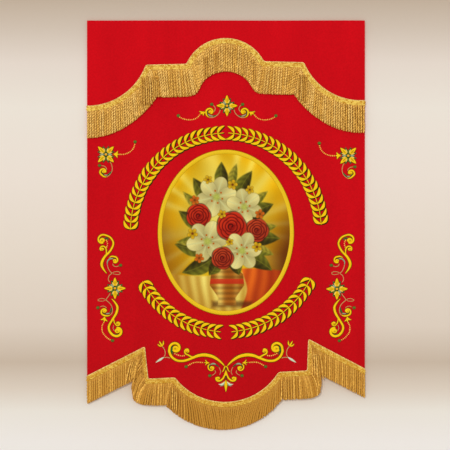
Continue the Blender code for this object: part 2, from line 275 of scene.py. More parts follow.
BOTTOM_SPRAY = (
    Petal("gold", (-229, -1172), (-246, -1163), 6, 0.15),
    Petal("gold", (-229, -1172), (-240, -1153), 6.6),
    Petal("gold", (-229, -1172), (-225, -1151), 6.2, -0.1),
    Scroll("beige", ((-229, -1172, 3.6), (-221, -1183, 3.2), (-218, -1198, 3.2), (-222, -1212, 3.2))),
    Scroll("beige", ((-222, -1213, 3.2), (-211, -1212, 3.2), (-200, -1215, 3.2))),
    Petal("cream", (-222, -1211), (-253, -1231), 8.8),
    Scroll("gold", ((-5, -1244, 3.4), (-14, -1234, 6.4), (-29, -1221, 9.8), (-48, -1210, 12.2),
        (-74, -1204, 13.4), (-98, -1206, 12.4), (-117, -1213, 10.6), (-137, -1221, 9.6), (-155, -1225, 9.4),
        (-176, -1223, 9.6), (-194, -1211, 10), (-203, -1193, 10)), (-181, -1179, 22.5, 7, 190, -470)),
    Scroll("dark", ((-191, -1170, 2), (-195, -1183, 6.4), (-193, -1195, 5), (-187, -1203, 2))),
    Scroll("gold", ((-112, -1212, 2.2), (-124, -1210, 5.8), (-137, -1203, 6.6)),
        (-138, -1190, 11.6, 3.6, -126, -340)),
    Chain("peach", ((-183, -1199), (-172, -1204), (-160, -1207), (-150, -1206))),
    Dot("green", (-143, -1246), 6.1),
    Chain("peach", ((-135, -1241), (-120, -1233), (-104, -1230), (-84, -1231))),
    Petal("gold", (-59, -1233), (-74, -1218), 4.8, 0.2),
    Petal("gold", (-59, -1233), (-81, -1231), 5),
    Petal("gold", (-59, -1233), (-75, -1243), 4.8, -0.2),
    Scroll("greygreen", ((-57, -1240, 2), (-50, -1236, 6), (-42, -1236, 6.8), (-35, -1239, 2))),
    Scroll("dark", ((-42, -1236, 2), (-35, -1240, 5.6), (-29, -1244, 4), (-25, -1249, 1.8))),
    Scroll("dark", ((-60, -1250, 1.8), (-59, -1243, 4.6), (-53, -1238, 2))),
    Scroll("beige", ((-25, -1248, 2.4), (-21, -1257, 2.4), (-19, -1265, 2.4), (-21, -1272, 2.4),
        (-24, -1276, 2.2))),
    Scroll("gold", ((-57, -1236, 2), (-63, -1242, 5.4)), (-51, -1250, 13.8, 3.6, 158, 400)),
    Dot("green", (-58, -1279), 6.2),
    Scroll("beige", ((-51, -1278, 2.4), (-42, -1273, 2.6), (-37, -1266, 2.6), (-40, -1259, 2.4))),
    Scroll("gold", ((-1, -1262, 3), (-4, -1275, 5.8), (-9, -1287, 6.8), (-17, -1295, 7.6)),
        (-28, -1288, 10.8, 3.2, -62, -330)),
    Petal("cream", (-4, -1300), (-27, -1309), 8.2, 0.25),
    Petal("lobe", (-4, -1298), (-17, -1305), 3.6, 0.2),
    Petal("greygreen", (-5, -1304), (-22, -1316), 5.5, 0.2),
    Scroll("gold", ((-15, -1266, 1.8), (-9, -1260, 4), (-6, -1252, 5), (-3, -1246, 5.4), (0, -1245, 5.4))),
)
BOTTOM_MIDDLE = (
    Scroll("gold", ((0, -1257, 3), (0, -1270, 6.4), (0, -1280, 5))),
    Scroll("outline", ((0, -1248, 2), (0, -1253, 4), (0, -1260, 1.8))),
    Scroll("brown", ((0, -1279, 2.4), (0, -1288, 5), (0, -1297, 2.4))),
    Scroll("gold", ((0, -1293, 2.2), (0, -1313, 13), (0, -1338, 1.4))),
)
FLOWERS = (
    Flower((4, -307), 37, 0),
    Flower((-432, -482), 39, 45),
    Flower((440, -487), 39, 45),
    Flower((-399, -964), 38, 0),
    Flower((399, -966), 38, 0),
)
CORNER_SHIFT = (9, -5)

# Thread colours: edge, body and light, each as red, green and blue from 0 to 255; the light tone is a painted
# highlight on the side of each band that faces the light
THREADS = {
    "gold": ((150, 120, 6), (250, 198, 2), (255, 214, 26)),
    "outline": ((62, 52, 12), (98, 84, 18), (124, 106, 26)),
    "shadow": ((136, 104, 8), (190, 148, 14), (214, 174, 30)),
    "green": ((38, 56, 16), (84, 104, 30), (108, 126, 48)),
    "greygreen": ((70, 96, 66), (132, 152, 120), (176, 188, 152)),
    "dark": ((22, 52, 28), (34, 84, 40), (70, 118, 64)),
    "peach": ((216, 140, 40), (252, 192, 80), (255, 212, 110)),
    "lobe": ((176, 124, 24), (246, 194, 80), (252, 212, 112)),
    "beige": ((144, 100, 50), (196, 148, 84), (222, 180, 116)),
    "cream": ((150, 158, 120), (208, 216, 182), (232, 236, 206)),
    "orange": ((176, 92, 14), (240, 158, 30), (252, 190, 60)),
    "brown": ((52, 36, 14), (84, 62, 24), (112, 86, 36)),
    "braid": ((166, 126, 10), (236, 192, 22), (248, 208, 44)),
}


def linear(colour):
    """A colour of 0 to 255 as the linear values that shaders take."""
    share = np.asarray(colour, float) / 255
    return np.where(share <= 0.04045, share / 12.92, ((share + 0.055) / 1.055) ** 2.4)


def colour_value(red, green, blue):
    return tuple(float(v) for v in linear((red, green, blue)))


def cloth_depth(x, z):
    """Depth of the hanging cloth's middle at a place on the flag."""
    fall = -z
    ripple = (WAVE_TOP + WAVE_GAIN * fall) * np.sin(math.tau * (x / WAVE_LENGTH + WAVE_DRIFT * fall))
    return ripple + SWAY_DEPTH * fall * np.sin(math.tau * fall / SWAY_LENGTH)


class Run:
    """One section of a fringe line, straight or an arc, as points (x, z) for t from 0 to 1."""

    def __init__(self, start, section):
        self.start = Vector(start)
        self.end = Vector((section.x, section.z))
        self.section = section
        chord = self.end - self.start
        self.half = chord.length / 2
        self.along = chord.normalized()
        self.up = Vector((-self.along.y, self.along.x))
        self.side = math.copysign(1.0, section.rise)
        self.spread = 2 * math.atan(abs(section.rise) / self.half)

    def angle(self, t):
        return (2 * t - 1) * self.spread

    def point(self, t):
        if self.spread == 0:
            return self.start.lerp(self.end, t)
        radius = self.half / math.sin(self.spread)
        reach = self.half + radius * math.sin(self.angle(t))
        height = radius * (math.cos(self.angle(t)) - math.cos(self.spread)) * self.side
        return self.start + self.along * reach + self.up * height

    def outward(self, t):
        """Unit vector across the line, to the side where the cords hang."""
        turn = self.angle(t) * self.side
        return (self.up * -math.cos(turn) - self.along * math.sin(turn)).normalized()

    def onward(self, t):
        """Unit vector along the line."""
        across = self.outward(t)
        return Vector((-across.y, across.x))

    def length(self):
        if self.spread == 0:
            return 2 * self.half
        return 2 * self.spread * self.half / math.sin(self.spread)


def runs_of(start, sections):
    runs = []
    for section in sections:
        runs.append(Run(start, section))
        start = (section.x, section.z)
    return runs


def corner_offsets(runs, width):
    """Mitred offset of each joint between the runs; the two ends are cut upright at the flag's sides."""
    offsets = [DOWN * width / abs(runs[0].outward(0).y)]
    for before, after in zip(runs, runs[1:]):
        across, next_across = before.outward(1), after.outward(0)
        middle = (across + next_across).normalized()
        offsets.append(middle * width / middle.dot(across))
    offsets.append(DOWN * width / abs(runs[-1].outward(1).y))
    return offsets


def offset_point(run, t, width, offset_from, offset_to):
    """The run's point moved out by the width, and slipped along the line to meet the mitred corners."""
    slip = offset_from.dot(run.onward(0)) * (1 - t) + offset_to.dot(run.onward(1)) * t
    return run.point(t) + run.outward(t) * width + run.onward(t) * slip


def line_places(runs, width, step, rounding=0):
    """A whole fringe line moved out by the width, as an array of places, its corners rounded."""
    offsets = corner_offsets(runs, width)
    places = []
    for number, run in enumerate(runs):
        count = max(1, round(run.length() / step))
        for k in range(count):
            places.append(offset_point(run, k / count, width, offsets[number], offsets[number + 1]))
    places.append(runs[-1].end + offsets[-1])
    places = np.array([tuple(p) for p in places])
    for _ in range(rounding):
        places[1:-1] = places[1:-1] / 2 + (places[:-2] + places[2:]) / 4
    return places


def smooth(points, step):
    """A curve through set-out places, as rows at even steps and the distance of each along it."""
    points = np.asarray(points, float)
    spread = np.vstack([2 * points[0] - points[1], points, 2 * points[-1] - points[-2]])
    t = np.linspace(0, 1, 12, endpoint=False)[:, None]
    parts = []
    for before, start, end, after in zip(spread, spread[1:], spread[2:], spread[3:]):
        square = (2 * before - 5 * start + 4 * end - after) * t**2
        cube = (3 * start - before - 3 * end + after) * t**3
        parts.append((2 * start + (end - before) * t + square + cube) / 2)
    dense = np.vstack([*parts, points[-1:]])
    run = np.insert(np.cumsum(np.hypot(*np.diff(dense[:, :2], axis=0).T)), 0, 0.0)
    even = np.linspace(0, run[-1], max(4, round(run[-1] / step)) + 1)
    return np.stack([np.interp(even, run, column) for column in dense.T], axis=1), even


def before_cloth(places, depth):
    """Places (x, z) as places at a depth before the cloth's face."""
    return [(x, -(CLOTH_FRONT + depth), z) for x, z in places]


def new_mesh(name, points, faces, edges=()):
    mesh = bpy.data.meshes.new(name)
    mesh.from_pydata(points, edges, faces)
    return mesh


def add_attribute(mesh, name, kind, values):
    layer = mesh.attributes.new(name, kind, "POINT")
    key = {"FLOAT": "value", "FLOAT_COLOR": "color"}.get(kind, "vector")
    layer.data.foreach_set(key, np.asarray(values, np.float32).ravel())


def lay_on_cloth(mesh):
    """Moves a flat mesh back and forth with the cloth's waves."""
    places = np.empty(len(mesh.vertices) * 3, np.float32)
    mesh.vertices.foreach_get("co", places)
    places = places.reshape(-1, 3)
    places[:, 1] += cloth_depth(places[:, 0], places[:, 2])
    mesh.vertices.foreach_set("co", places.ravel())
    mesh.update()


def add_piece(name, mesh, finish, node=None):
    """A finished piece on the flag's one body."""
    lay_on_cloth(mesh)
    mesh.materials.clear()
    mesh.materials.append(finish)
    mesh.shade_smooth()
    piece = bpy.data.objects.new(name, mesh)
    bpy.context.scene.collection.objects.link(piece)
    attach(piece, "root")
    if node:
        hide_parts(node)


class Threads:
    """Gathers raised bands of thread into one closed mesh with thread colours and stitch directions."""

    # A band's section, across and up, and the direction the light comes from: the band's side facing it gets
    # a painted highlight in the light tone
    CROWN = ((-1.0, 0.0), (-0.70, 0.66), (0.0, 1.0), (0.70, 0.66), (1.0, 0.0))
    LIT_FROM = (-0.55, 0.83)
    STEP = 0.0025
    SCROLL_HEIGHT = 0.0015
    PETAL_HEIGHT = 0.0013
    DOT_HEIGHT = 0.0014
    # The dark band under a gold one: how much wider, and its height as a share
    OUTLINE_WIDTH = 0.0021
    OUTLINE_SHARE = 0.55

    def __init__(self, lift):
        self.lift = lift
        self.mirror = 1
        self.shift = (0, 0)
        self.points = []
        self.faces = []
        self.colours = []
        self.stitches = []

    def band(self, path, run, height, thread, lift=0.0, closed=False):
        """One band along a path of rows (x, z, width), crowned, with rounded ends."""
        along = np.gradient(path[:, :2], axis=0)
        if closed:
            along = np.roll(path[:, :2], -1, axis=0) - np.roll(path[:, :2], 1, axis=0)
        along /= np.linalg.norm(along, axis=1)[:, None]
        across = np.stack([along[:, 1], -along[:, 0]], axis=1)
        half = path[:, 2] / 2
        if not closed:
            reach = np.maximum(half, 0.0004)
            near = np.clip(np.minimum(run, run[-1] - run) / reach, 0.0, 1.0)
            half = half * np.sqrt(np.maximum(1 - (1 - near) ** 2, 0.02))
        edge, body, light = (linear(c) for c in THREADS[thread])
        start = len(self.points)
        rise = np.minimum(height, half * 0.8)
        for k in range(len(path)):
            for side, crown in self.CROWN:
                x, z = path[k, :2] + across[k] * side * half[k]
                self.points.append((x, -(self.lift + lift + crown * rise[k]), z))
                # Painted light: the side of the band facing LIT_FROM is painted towards the light tone, the
                # other side keeps the body tone
                painted_light = 0.5 + 0.5 * side * float(across[k] @ self.LIT_FROM)
                inner = body * (1 - painted_light * 0.8) + light * painted_light * 0.8
                self.colours.append((edge if abs(side) == 1 else inner).tolist() + [1.0])
                self.stitches.append((float(run[k]), side * half[k], 0.0))
        size, rings = len(self.CROWN), len(path)
        for k in range(rings if closed else rings - 1):
            here, there = start + k * size, start + (k + 1) % rings * size
            for j in range(size):
                following = (j + 1) % size
                self.faces.append((here + j, there + j, there + following, here + following))
        if not closed:
            self.faces.append(tuple(start + j for j in range(size)))
            self.faces.append(tuple(start + (rings - 1) * size + j for j in reversed(range(size))))

    def edged(self, places, height, thread, lift):
        """A band through places in millimetres; gold lies on a slightly wider dark one."""
        path, run = smooth(np.array(places) / 1000, self.STEP)
        if thread == "gold":
            wider = path + (0.0, 0.0, self.OUTLINE_WIDTH)
            self.band(wider, run, height * self.OUTLINE_SHARE, "outline", lift)
        self.band(path, run, height, thread, lift)

    def at(self, place):
        """A place (x, z) in millimetres, mirrored and shifted with its spray."""
        return (self.mirror * place[0] + self.shift[0], place[1] + self.shift[1])

    def scroll(self, item, lift=0.0):
        """A tapering scroll; its volute winds in to a filled ball."""
        places = list(item.body)
        if item.volute:
            x, z, outer, inner, angle, turn = item.volute
            ball = max(outer * 0.46, 6.6)
            end = math.log(ball * 0.9 / outer) / math.log(inner / outer)
            count = max(3, round(abs(turn * end) / 30))
            last = places[-1][2]
            for share in np.linspace(0, end, count + 1):
                radius = outer * (inner / outer) ** share
                direction = math.radians(angle + turn * share)
                places.append((x + radius * math.cos(direction), z + radius * math.sin(direction), last))
            shaded = (x - 0.12 * ball, z - 0.12 * ball)
            self.dot(Dot("outline", (x, z), ball + 0.9), lift, self.SCROLL_HEIGHT * self.OUTLINE_SHARE)
            self.dot(Dot(item.thread, (x, z), ball), lift + 0.0001, self.SCROLL_HEIGHT)
            self.dot(Dot("shadow", shaded, ball * 0.42), lift + 0.0006, self.SCROLL_HEIGHT)
        places = [(*self.at(place), place[2]) for place in places]
        self.edged(places, self.SCROLL_HEIGHT, item.thread, lift)

    def petal(self, item, lift=0.0):
        base = np.array(self.at(item.base))
        along = np.array(self.at(item.tip)) - base
        aside = np.array((-along[1], along[0])) * item.bend * self.mirror
        places = []
        for share, broad in ((0.0, 0.30), (0.30, 0.90), (0.50, 1.0), (0.80, 0.58), (1.0, 0.06)):
            place = base + along * share + aside * math.sin(math.pi * share)
            places.append((*place, broad * item.width))
        self.edged(places, self.PETAL_HEIGHT, item.thread, lift)

    def dot(self, item, lift, height=DOT_HEIGHT):
        x, z = self.at(item.centre)
        r = item.radius
        places = np.array([(x - r, z, 2 * r), (x, z, 2 * r), (x + r, z, 2 * r)]) / 1000
        path, run = smooth(places, r / 5000)
        self.band(path, run, height, item.thread, lift)

    def flower(self, item):
        """A four-petalled flower with side lobes and buds, leaves between the petals and a round centre."""
        def place(share, degrees):
            turn = math.radians(degrees)
            reach = item.radius * share
            return (item.centre[0] + reach * math.cos(turn), item.centre[1] + reach * math.sin(turn))

        def petal(thread, base, tip, width, lift):
            self.petal(Petal(thread, place(*base), place(*tip), item.radius * width), lift)

        def dot(thread, radius, lift):
            self.dot(Dot(thread, item.centre, item.radius * radius), lift)

        dot("green", 0.30, 0.0001)
        for quarter in range(4):
            axis = item.turn + 90 * quarter
            leaf = "greygreen" if quarter % 2 else "green"
            petal(leaf, (0.14, axis + 45), (0.60, axis + 45), 0.22, 0.0004)
            for side in (-1, 1):
                petal("dark", (0.30, axis + side * 26), (0.84, axis + side * 27), 0.22, 0.0002)
                petal("lobe", (0.24, axis + side * 22), (0.68, axis + side * 25), 0.16, 0.0007)
        for quarter in range(4):
            axis = item.turn + 90 * quarter
            petal("gold", (0.20, axis), (1.03, axis), 0.40, 0.0012)
            petal("shadow", (0.30, axis), (0.80, axis), 0.14, 0.0018)
        dot("dark", 0.20, 0.0015)
        dot("orange", 0.13, 0.0021)

    def spray(self, items, mirror=1, shift=(0, 0)):
        """A spray's scrolls, petals and dots, laid over each other by thread."""
        self.mirror, self.shift = mirror, shift
        order = {"gold": 0.0005, "greygreen": 0.0003, "outline": 0.0012, "brown": 0.0012}
        for item in items:
            if isinstance(item, Scroll):
                self.scroll(item, order.get(item.thread, 0.0))
            elif isinstance(item, Petal):
                self.petal(item, 0.0003)
            elif isinstance(item, Dot):
                self.dot(item, 0.0003)

    def mesh(self, name):
        made = new_mesh(name, self.points, self.faces)
        add_attribute(made, "thread_colour", "FLOAT_COLOR", self.colours)
        add_attribute(made, "stitch", "FLOAT_VECTOR", self.stitches)
        return made


class Network:
    """Adds nodes to a tree. An input given as a socket is joined up, and anything else is set."""

    def __init__(self, tree):
        self.tree = tree

    def add(self, kind, inputs=None, **settings):
        node = self.tree.nodes.new(kind)
        for name, value in settings.items():
            setattr(node, name, value)
        for key, value in (inputs or {}).items():
            if isinstance(value, bpy.types.NodeSocket):
                self.tree.links.new(value, node.inputs[key])
            else:
                node.inputs[key].default_value = value
        return node

    def made(self, kind, inputs=None, **settings):
        """Adds a node and gives its first output."""
        return self.add(kind, inputs, **settings).outputs[0]

    def number(self, operation, *values):
        return self.made("ShaderNodeMath", dict(enumerate(values)), operation=operation)

    def plus(self, first, second):
        return self.number("ADD", first, second)

    def minus(self, first, second):
        return self.number("SUBTRACT", first, second)

    def times(self, first, second):
        return self.number("MULTIPLY", first, second)

    def times_plus(self, first, second, third):
        return self.number("MULTIPLY_ADD", first, second, third)

    def split(self, vector):
        return self.add("ShaderNodeSeparateXYZ", {0: vector}).outputs


class Finish(Network):
    """A material around one Principled shader."""

    def __init__(self, name, roughness, specular):
        self.material = bpy.data.materials.new(name)
        self.material.use_nodes = True
        super().__init__(self.material.node_tree)
        self.shader = self.tree.nodes["Principled BSDF"]
        self.shader.inputs["Roughness"].default_value = roughness
        self.shader.inputs["Specular IOR Level"].default_value = specular

    def place(self):
        return self.add("ShaderNodeTexCoord").outputs["Object"]

    def attribute(self, name, output="Color"):
        return self.add("ShaderNodeAttribute", attribute_name=name).outputs[output]

    def noise(self, vector, scale, detail=2.0, stretch=None):
        if stretch:
            vector = self.made("ShaderNodeMapping", {"Vector": vector, "Scale": stretch})
        inputs = {"Vector": vector, "Scale": scale, "Detail": detail}
        return self.add("ShaderNodeTexNoise", inputs).outputs["Fac"]

    def ramp(self, value, *stops):
        """A colour ramp of stops (position, colour). A colour given as one number is a grey."""
        node = self.add("ShaderNodeValToRGB", {0: value})
        stops_made = node.color_ramp.elements
        while len(stops_made) < len(stops):
            stops_made.new(0.5)
        for made, (position, colour) in zip(stops_made, stops):
            made.position = position
            made.color = (*((colour,) * 3 if isinstance(colour, float) else colour), 1.0)
        return node.outputs["Color"]

    def blend(self, factor, first, second, way="MIX"):
        inputs = {0: factor, 6: first, 7: second}
        return self.add("ShaderNodeMix", inputs, data_type="RGBA", blend_type=way).outputs[2]

    def toned(self, colour, value, *stops, factor=1.0):
        """The colour multiplied by a ramp."""
        return self.blend(factor, colour, self.ramp(value, *stops), "MULTIPLY")

    def waves(self, value, period):
        """A smooth wave of 0 to 1 with a period in metres."""
        return self.times_plus(self.number("SINE", self.times(value, math.tau / period)), 0.5, 0.5)

    def weave(self, place, pitch):
        """Height of a plain weave, from 0 to 1."""
        x, _, z = self.split(place)
        return self.times(self.waves(x, pitch), self.waves(z, pitch))

    def stitches(self, slant, period):
        """Height of the stitches that lie across each band, from 0 to 1."""
        run, side, _ = self.split(self.attribute("stitch", "Vector"))
        return self.waves(self.times_plus(side, slant, run), period)

    def bump(self, height, distance, strength, under=None):
        inputs = {"Height": height, "Distance": distance, "Strength": strength}
        if under:
            inputs["Normal"] = under
        return self.made("ShaderNodeBump", inputs)

    def done(self, colour, normal=None):
        self.tree.links.new(colour, self.shader.inputs["Base Color"])
        if normal:
            self.tree.links.new(normal, self.shader.inputs["Normal"])
        return self.material


def red_cloth_finish(settings):
    """Plain-woven red cloth, a little darker towards its hem, with soft uneven tone."""
    finish = Finish("woven_red_cloth", 0.80, 0.04)
    place = finish.place()
    fall = finish.times(finish.split(place)[2], -1 / DARKENING_LENGTH)
    top, hem = (*settings.cloth_top, 1.0), (*settings.cloth_hem, 1.0)
    colour = finish.blend(finish.number("POWER", fall, 1.5), top, hem)
    colour = finish.toned(colour, finish.noise(place, 5.0, 3.0, (1.6, 1.0, 0.5)), (0.30, 0.93), (0.70, 1.06))
    colour = finish.toned(colour, finish.noise(place, 160.0), (0.35, 0.95), (0.65, 1.05))
    weave = finish.bump(finish.weave(place, settings.weave_pitch), 0.00025, 0.5)
    return finish.done(colour, finish.bump(finish.noise(place, 22.0), 0.0012, 0.35, weave))


def gold_cord_finish(settings):
    """Twisted gold cord: a painted highlight along its two plies, painted brown shade between them and at its
    sides, between neighbouring cords, and painted glints.
    """
    finish = Finish("twisted_gold_cord", 0.45, 0.15)
    crest, edge, shade = finish.split(finish.attribute("cord", "Vector"))
    tones = (settings.cord_dark, settings.cord_body, settings.cord_light, settings.cord_pale)
    colour = finish.ramp(shade, *zip((0.05, 0.45, 0.86, 1.0), tones))
    # Painted shade in the groove between the plies, and a painted highlight on their crests
    colour = finish.toned(colour, crest, (0.0, (0.44, 0.31, 0.16)), (0.36, 0.94), (1.0, 1.12))
    # Painted shade at the cord's sides, where neighbouring cords meet, and a slight painted highlight along
    # its middle
    colour = finish.toned(colour, edge, (0.45, 1.10), (0.82, (0.72, 0.61, 0.43)), (1.0, (0.38, 0.27, 0.13)))
    place = finish.place()
    # Painted glints: fine specks lighter and darker than the cord
    glints = finish.noise(place, settings.fleck, 0.0)
    flecked = finish.number("MINIMUM", finish.times_plus(shade, 2.0, 0.1), 1.0)
    colour = finish.toned(colour, glints, (0.30, (0.68, 0.61, 0.50)), (0.70, 1.20), factor=flecked)
    x, _, z = finish.split(place)
    strand = finish.waves(finish.plus(z, finish.times(x, 0.7)), 0.0011)
    return finish.done(colour, finish.bump(strand, 0.0002, 0.4))


def heading_finish(settings):
    """Woven gold heading: pale and dark loops side by side."""
    finish = Finish("gold_heading", 0.45, 0.15)
    loop = finish.split(finish.attribute("cord", "Vector"))[2]
    fleck = finish.noise(finish.place(), 260.0)
    share = finish.times_plus(fleck, 0.6, finish.times_plus(loop, 0.8, -0.2))
    colour = finish.ramp(share, (0.10, settings.heading_dark), (0.75, settings.heading_light))
    return finish.done(colour, finish.bump(fleck, 0.0006, 0.5))


def thread_finish():
    """Satin-stitched thread. The stitches lie across each band, with painted shade in the grooves between
    them.
    """
    finish = Finish("embroidery_thread", 0.5, 0.05)
    stitch = finish.stitches(0.25, 0.0009)
    # Painted shade: darker in the grooves between the stitches
    colour = finish.toned(finish.attribute("thread_colour"), stitch, (0.0, 0.86), (0.7, 1.05))
    colour = finish.toned(colour, finish.noise(finish.place(), 90.0), (0.3, 0.92), (0.7, 1.07))
    return finish.done(colour, finish.bump(stitch, 0.0002, 0.6))


def border_finish():
    """Yellow braid round the picture: close stitches across a padded band, with painted shade between the
    stitches.
    """
    finish = Finish("padded_yellow_braid", 0.5, 0.06)
    stitch = finish.stitches(0.18, 0.0013)
    # Painted shade: darker between the stitches
    colour = finish.toned(finish.attribute("thread_colour"), stitch, (0.0, 0.88), (0.7, 1.04))
    return finish.done(colour, finish.bump(stitch, 0.0003, 0.7))


def picture_finish():
    """Picture cloth: its colours are in the mesh, with a fine weave over them and painted shade in the
    weave's hollows.
    """
    finish = Finish("painted_picture_cloth", 0.6, 0.05)
    weave = finish.weave(finish.place(), 0.0010)
    # Painted shade: darker in the hollows of the weave
    colour = finish.toned(finish.attribute("picture_colour"), weave, (0.0, 0.92), (0.7, 1.03))
    return finish.done(colour, finish.bump(weave, 0.0002, 0.5))


def shared_finish(name, make, *values):
    return bpy.data.materials.get(name) or make(*values)


# Values that the trees use on the way and the finished meshes don't need
WORKING_VALUES = (
    "arch", "core", "forward", "hang", "lift", "pale", "ply", "reach", "root", "shade", "share", "slant",
    "sparse", "steep", "sway", "tone", "width",
)


class Growth(Network):
    """A Geometry Nodes tree with named inputs, run on a guide and kept as a plain mesh."""

    def __init__(self, name, inputs):
        super().__init__(bpy.data.node_groups.new(name, "GeometryNodeTree"))
        sockets = self.tree.interface
        sockets.new_socket("Geometry", in_out="OUTPUT", socket_type="NodeSocketGeometry")
        for label, kind in {"Geometry": "Geometry", **inputs, "Finish": "Material"}.items():
            sockets.new_socket(label, in_out="INPUT", socket_type="NodeSocket" + kind)
        self.start = self.add("NodeGroupInput").outputs
        self.end = self.add("NodeGroupOutput")

    def named(self, name, kind="FLOAT"):
        return self.made("GeometryNodeInputNamedAttribute", {"Name": name}, data_type=kind)

    def keep(self, geometry, name, value, kind="FLOAT"):
        inputs = {"Geometry": geometry, "Name": name, "Value": value}
        return self.made("GeometryNodeStoreNamedAttribute", inputs, data_type=kind, domain="POINT")

    def random(self, low, high, step=0.0):
        """A random number for every place. Each step from the seed gives numbers of its own."""
        seed = self.plus(self.start["Seed"], step) if step else self.start["Seed"]
        inputs = {2: low, 3: high, "Seed": seed}
        return self.add("FunctionNodeRandomValue", inputs, data_type="FLOAT").outputs[1]

    def vector(self, operation, *values):
        return self.made("ShaderNodeVectorMath", dict(enumerate(values)), operation=operation)

    def scaled(self, vector, factor):
        return self.made("ShaderNodeVectorMath", {0: vector, "Scale": factor}, operation="SCALE")

    def joined(self, x, y, z):
        return self.made("ShaderNodeCombineXYZ", {0: x, 1: y, 2: z})

    def position(self):
        return self.made("GeometryNodeInputPosition")

    def moved(self, geometry, **to):
        """Geometry moved to a Position, or by an Offset."""
        return self.made("GeometryNodeSetPosition", {"Geometry": geometry, **to})

    def dyed(self, geometry, colour):
        """Geometry with one thread colour of 0 to 255."""
        dye = self.made("FunctionNodeInputColor", value=(*colour_value(*colour), 1.0))
        return self.keep(geometry, "thread_colour", dye, "FLOAT_COLOR")

    def ball(self, segments, rings):
        return self.made("GeometryNodeMeshUVSphere", {"Segments": segments, "Rings": rings, "Radius": 0.5})

    def along_line(self):
        """The rotation that lays an item along the line."""
        inputs = {"Vector": self.made("GeometryNodeInputTangent")}
        return self.made("FunctionNodeAlignRotationToVector", inputs, axis="X", pivot_axis="Y")

    def stations(self, spacing):
        """The guide's edges as curves, with points at even spacing."""
        curve = self.made("GeometryNodeMeshToCurve", {0: self.start["Geometry"]})
        return self.made("GeometryNodeResampleCurve", {"Curve": curve, "Length": spacing}, mode="LENGTH")

    def realized(self, geometry):
        return self.made("GeometryNodeRealizeInstances", {0: geometry})

    def copies(self, places, item, **inputs):
        """The item at every place, as plain geometry."""
        inputs = {"Points": places, "Instance": item, **inputs}
        return self.realized(self.made("GeometryNodeInstanceOnPoints", inputs))

    def finish(self, geometry):
        inputs = {"Geometry": self.realized(geometry), "Material": self.start["Finish"]}
        self.tree.links.new(self.made("GeometryNodeSetMaterial", inputs), self.end.inputs[0])
        return self

    def run(self, name, guide, **values):
        """Runs the tree on a guide mesh and returns the result as a mesh."""
        holder = bpy.data.objects.new(name + "_guide", guide)
        bpy.context.scene.collection.objects.link(holder)
        modifier = holder.modifiers.new("growth", "NODES")
        modifier.node_group = self.tree
        for item in self.tree.interface.items_tree:
            label = item.name.lower().replace(" ", "_")
            if item.in_out == "INPUT" and label in values:
                modifier[item.identifier] = values.pop(label)
        if values:
            raise RuntimeError(f"{name}: the tree has no input {sorted(values)}")
        graph = bpy.context.evaluated_depsgraph_get()
        evaluated = holder.evaluated_get(graph)
        mesh = bpy.data.meshes.new_from_object(evaluated, preserve_all_data_layers=True, depsgraph=graph)
        holder.modifiers.remove(modifier)
        bpy.data.objects.remove(holder)
        if not mesh.polygons:
            raise RuntimeError(f"{name}: the tree made no faces")
        mesh.name = name
        for label in [layer.name for layer in mesh.attributes if layer.name in WORKING_VALUES]:
            mesh.attributes.remove(mesh.attributes[label])
        return mesh


def guide_mesh(name, lines, **attributes):
    """Separate open lines of places (x, depth, z) as one guide mesh, with values for every place."""
    points, edges = [], []
    for line in lines:
        first = len(points)
        points += [tuple(place) for place in line]
        edges += [(k, k + 1) for k in range(first, len(points) - 1)]
    mesh = new_mesh(name, points, [], edges)
    for label, values in attributes.items():
        kind = "FLOAT" if np.ndim(values[0]) == 0 else "FLOAT_VECTOR"
        add_attribute(mesh, label, kind, values)
    return mesh


def grow(tree, name, guide, finish, slot, **values):
    """A piece made by running a tree on a guide mesh."""
    add_piece(name, tree.run(name, guide, finish=finish, **values), finish)


def twisted(tree, curve, width, phase, shade):
    """Sweeps a flattened two-ply section along curves, a turn in each lay, with values for its colours that
    place painted shade between the plies and at the cord's sides.
    """
    start = tree.start
    run = tree.add("GeometryNodeSplineParameter").outputs["Length"]
    turns = tree.plus(tree.number("DIVIDE", run, start["Lay"]), phase)
    curve = tree.made("GeometryNodeSetCurveTilt", {"Curve": curve, "Tilt": tree.times(turns, math.tau)})
    curve = tree.keep(curve, "core", tree.position(), "FLOAT_VECTOR")
    ring = tree.made("GeometryNodeCurvePrimitiveCircle", {"Resolution": 8, "Radius": 1.0}, mode="RADIUS")
    ring = tree.keep(ring, "ply", tree.split(tree.position())[0])
    ring = tree.made("GeometryNodeTransform", {"Geometry": ring, "Scale": (1.0, PLY_HEIGHT, 1.0)})
    size = tree.times(tree.times(start["Thickness"], 0.5), width)
    inputs = {"Curve": curve, "Profile Curve": ring, "Scale": size, "Fill Caps": True}
    mesh = tree.made("GeometryNodeCurveToMesh", inputs)
    x, y, z = tree.split(tree.vector("SUBTRACT", tree.position(), tree.named("core", "FLOAT_VECTOR")))
    # edge: distance out from the cord's core, for the painted shade at its sides
    aside = tree.number("SQRT", tree.plus(tree.times(x, x), tree.times(z, z)))
    edge = tree.number("DIVIDE", aside, size)
    # crest: low in the groove between the plies, for the painted shade there
    ply = tree.named("ply")
    hollow = tree.minus(1.0, tree.times(ply, ply))
    crest = tree.minus(1.0, tree.times(hollow, start["Relief"]))
    mesh = tree.keep(mesh, "cord", tree.joined(crest, edge, shade), "FLOAT_VECTOR")
    return tree.moved(mesh, Offset=tree.joined(0.0, tree.times(y, -FLATTENING), 0.0))


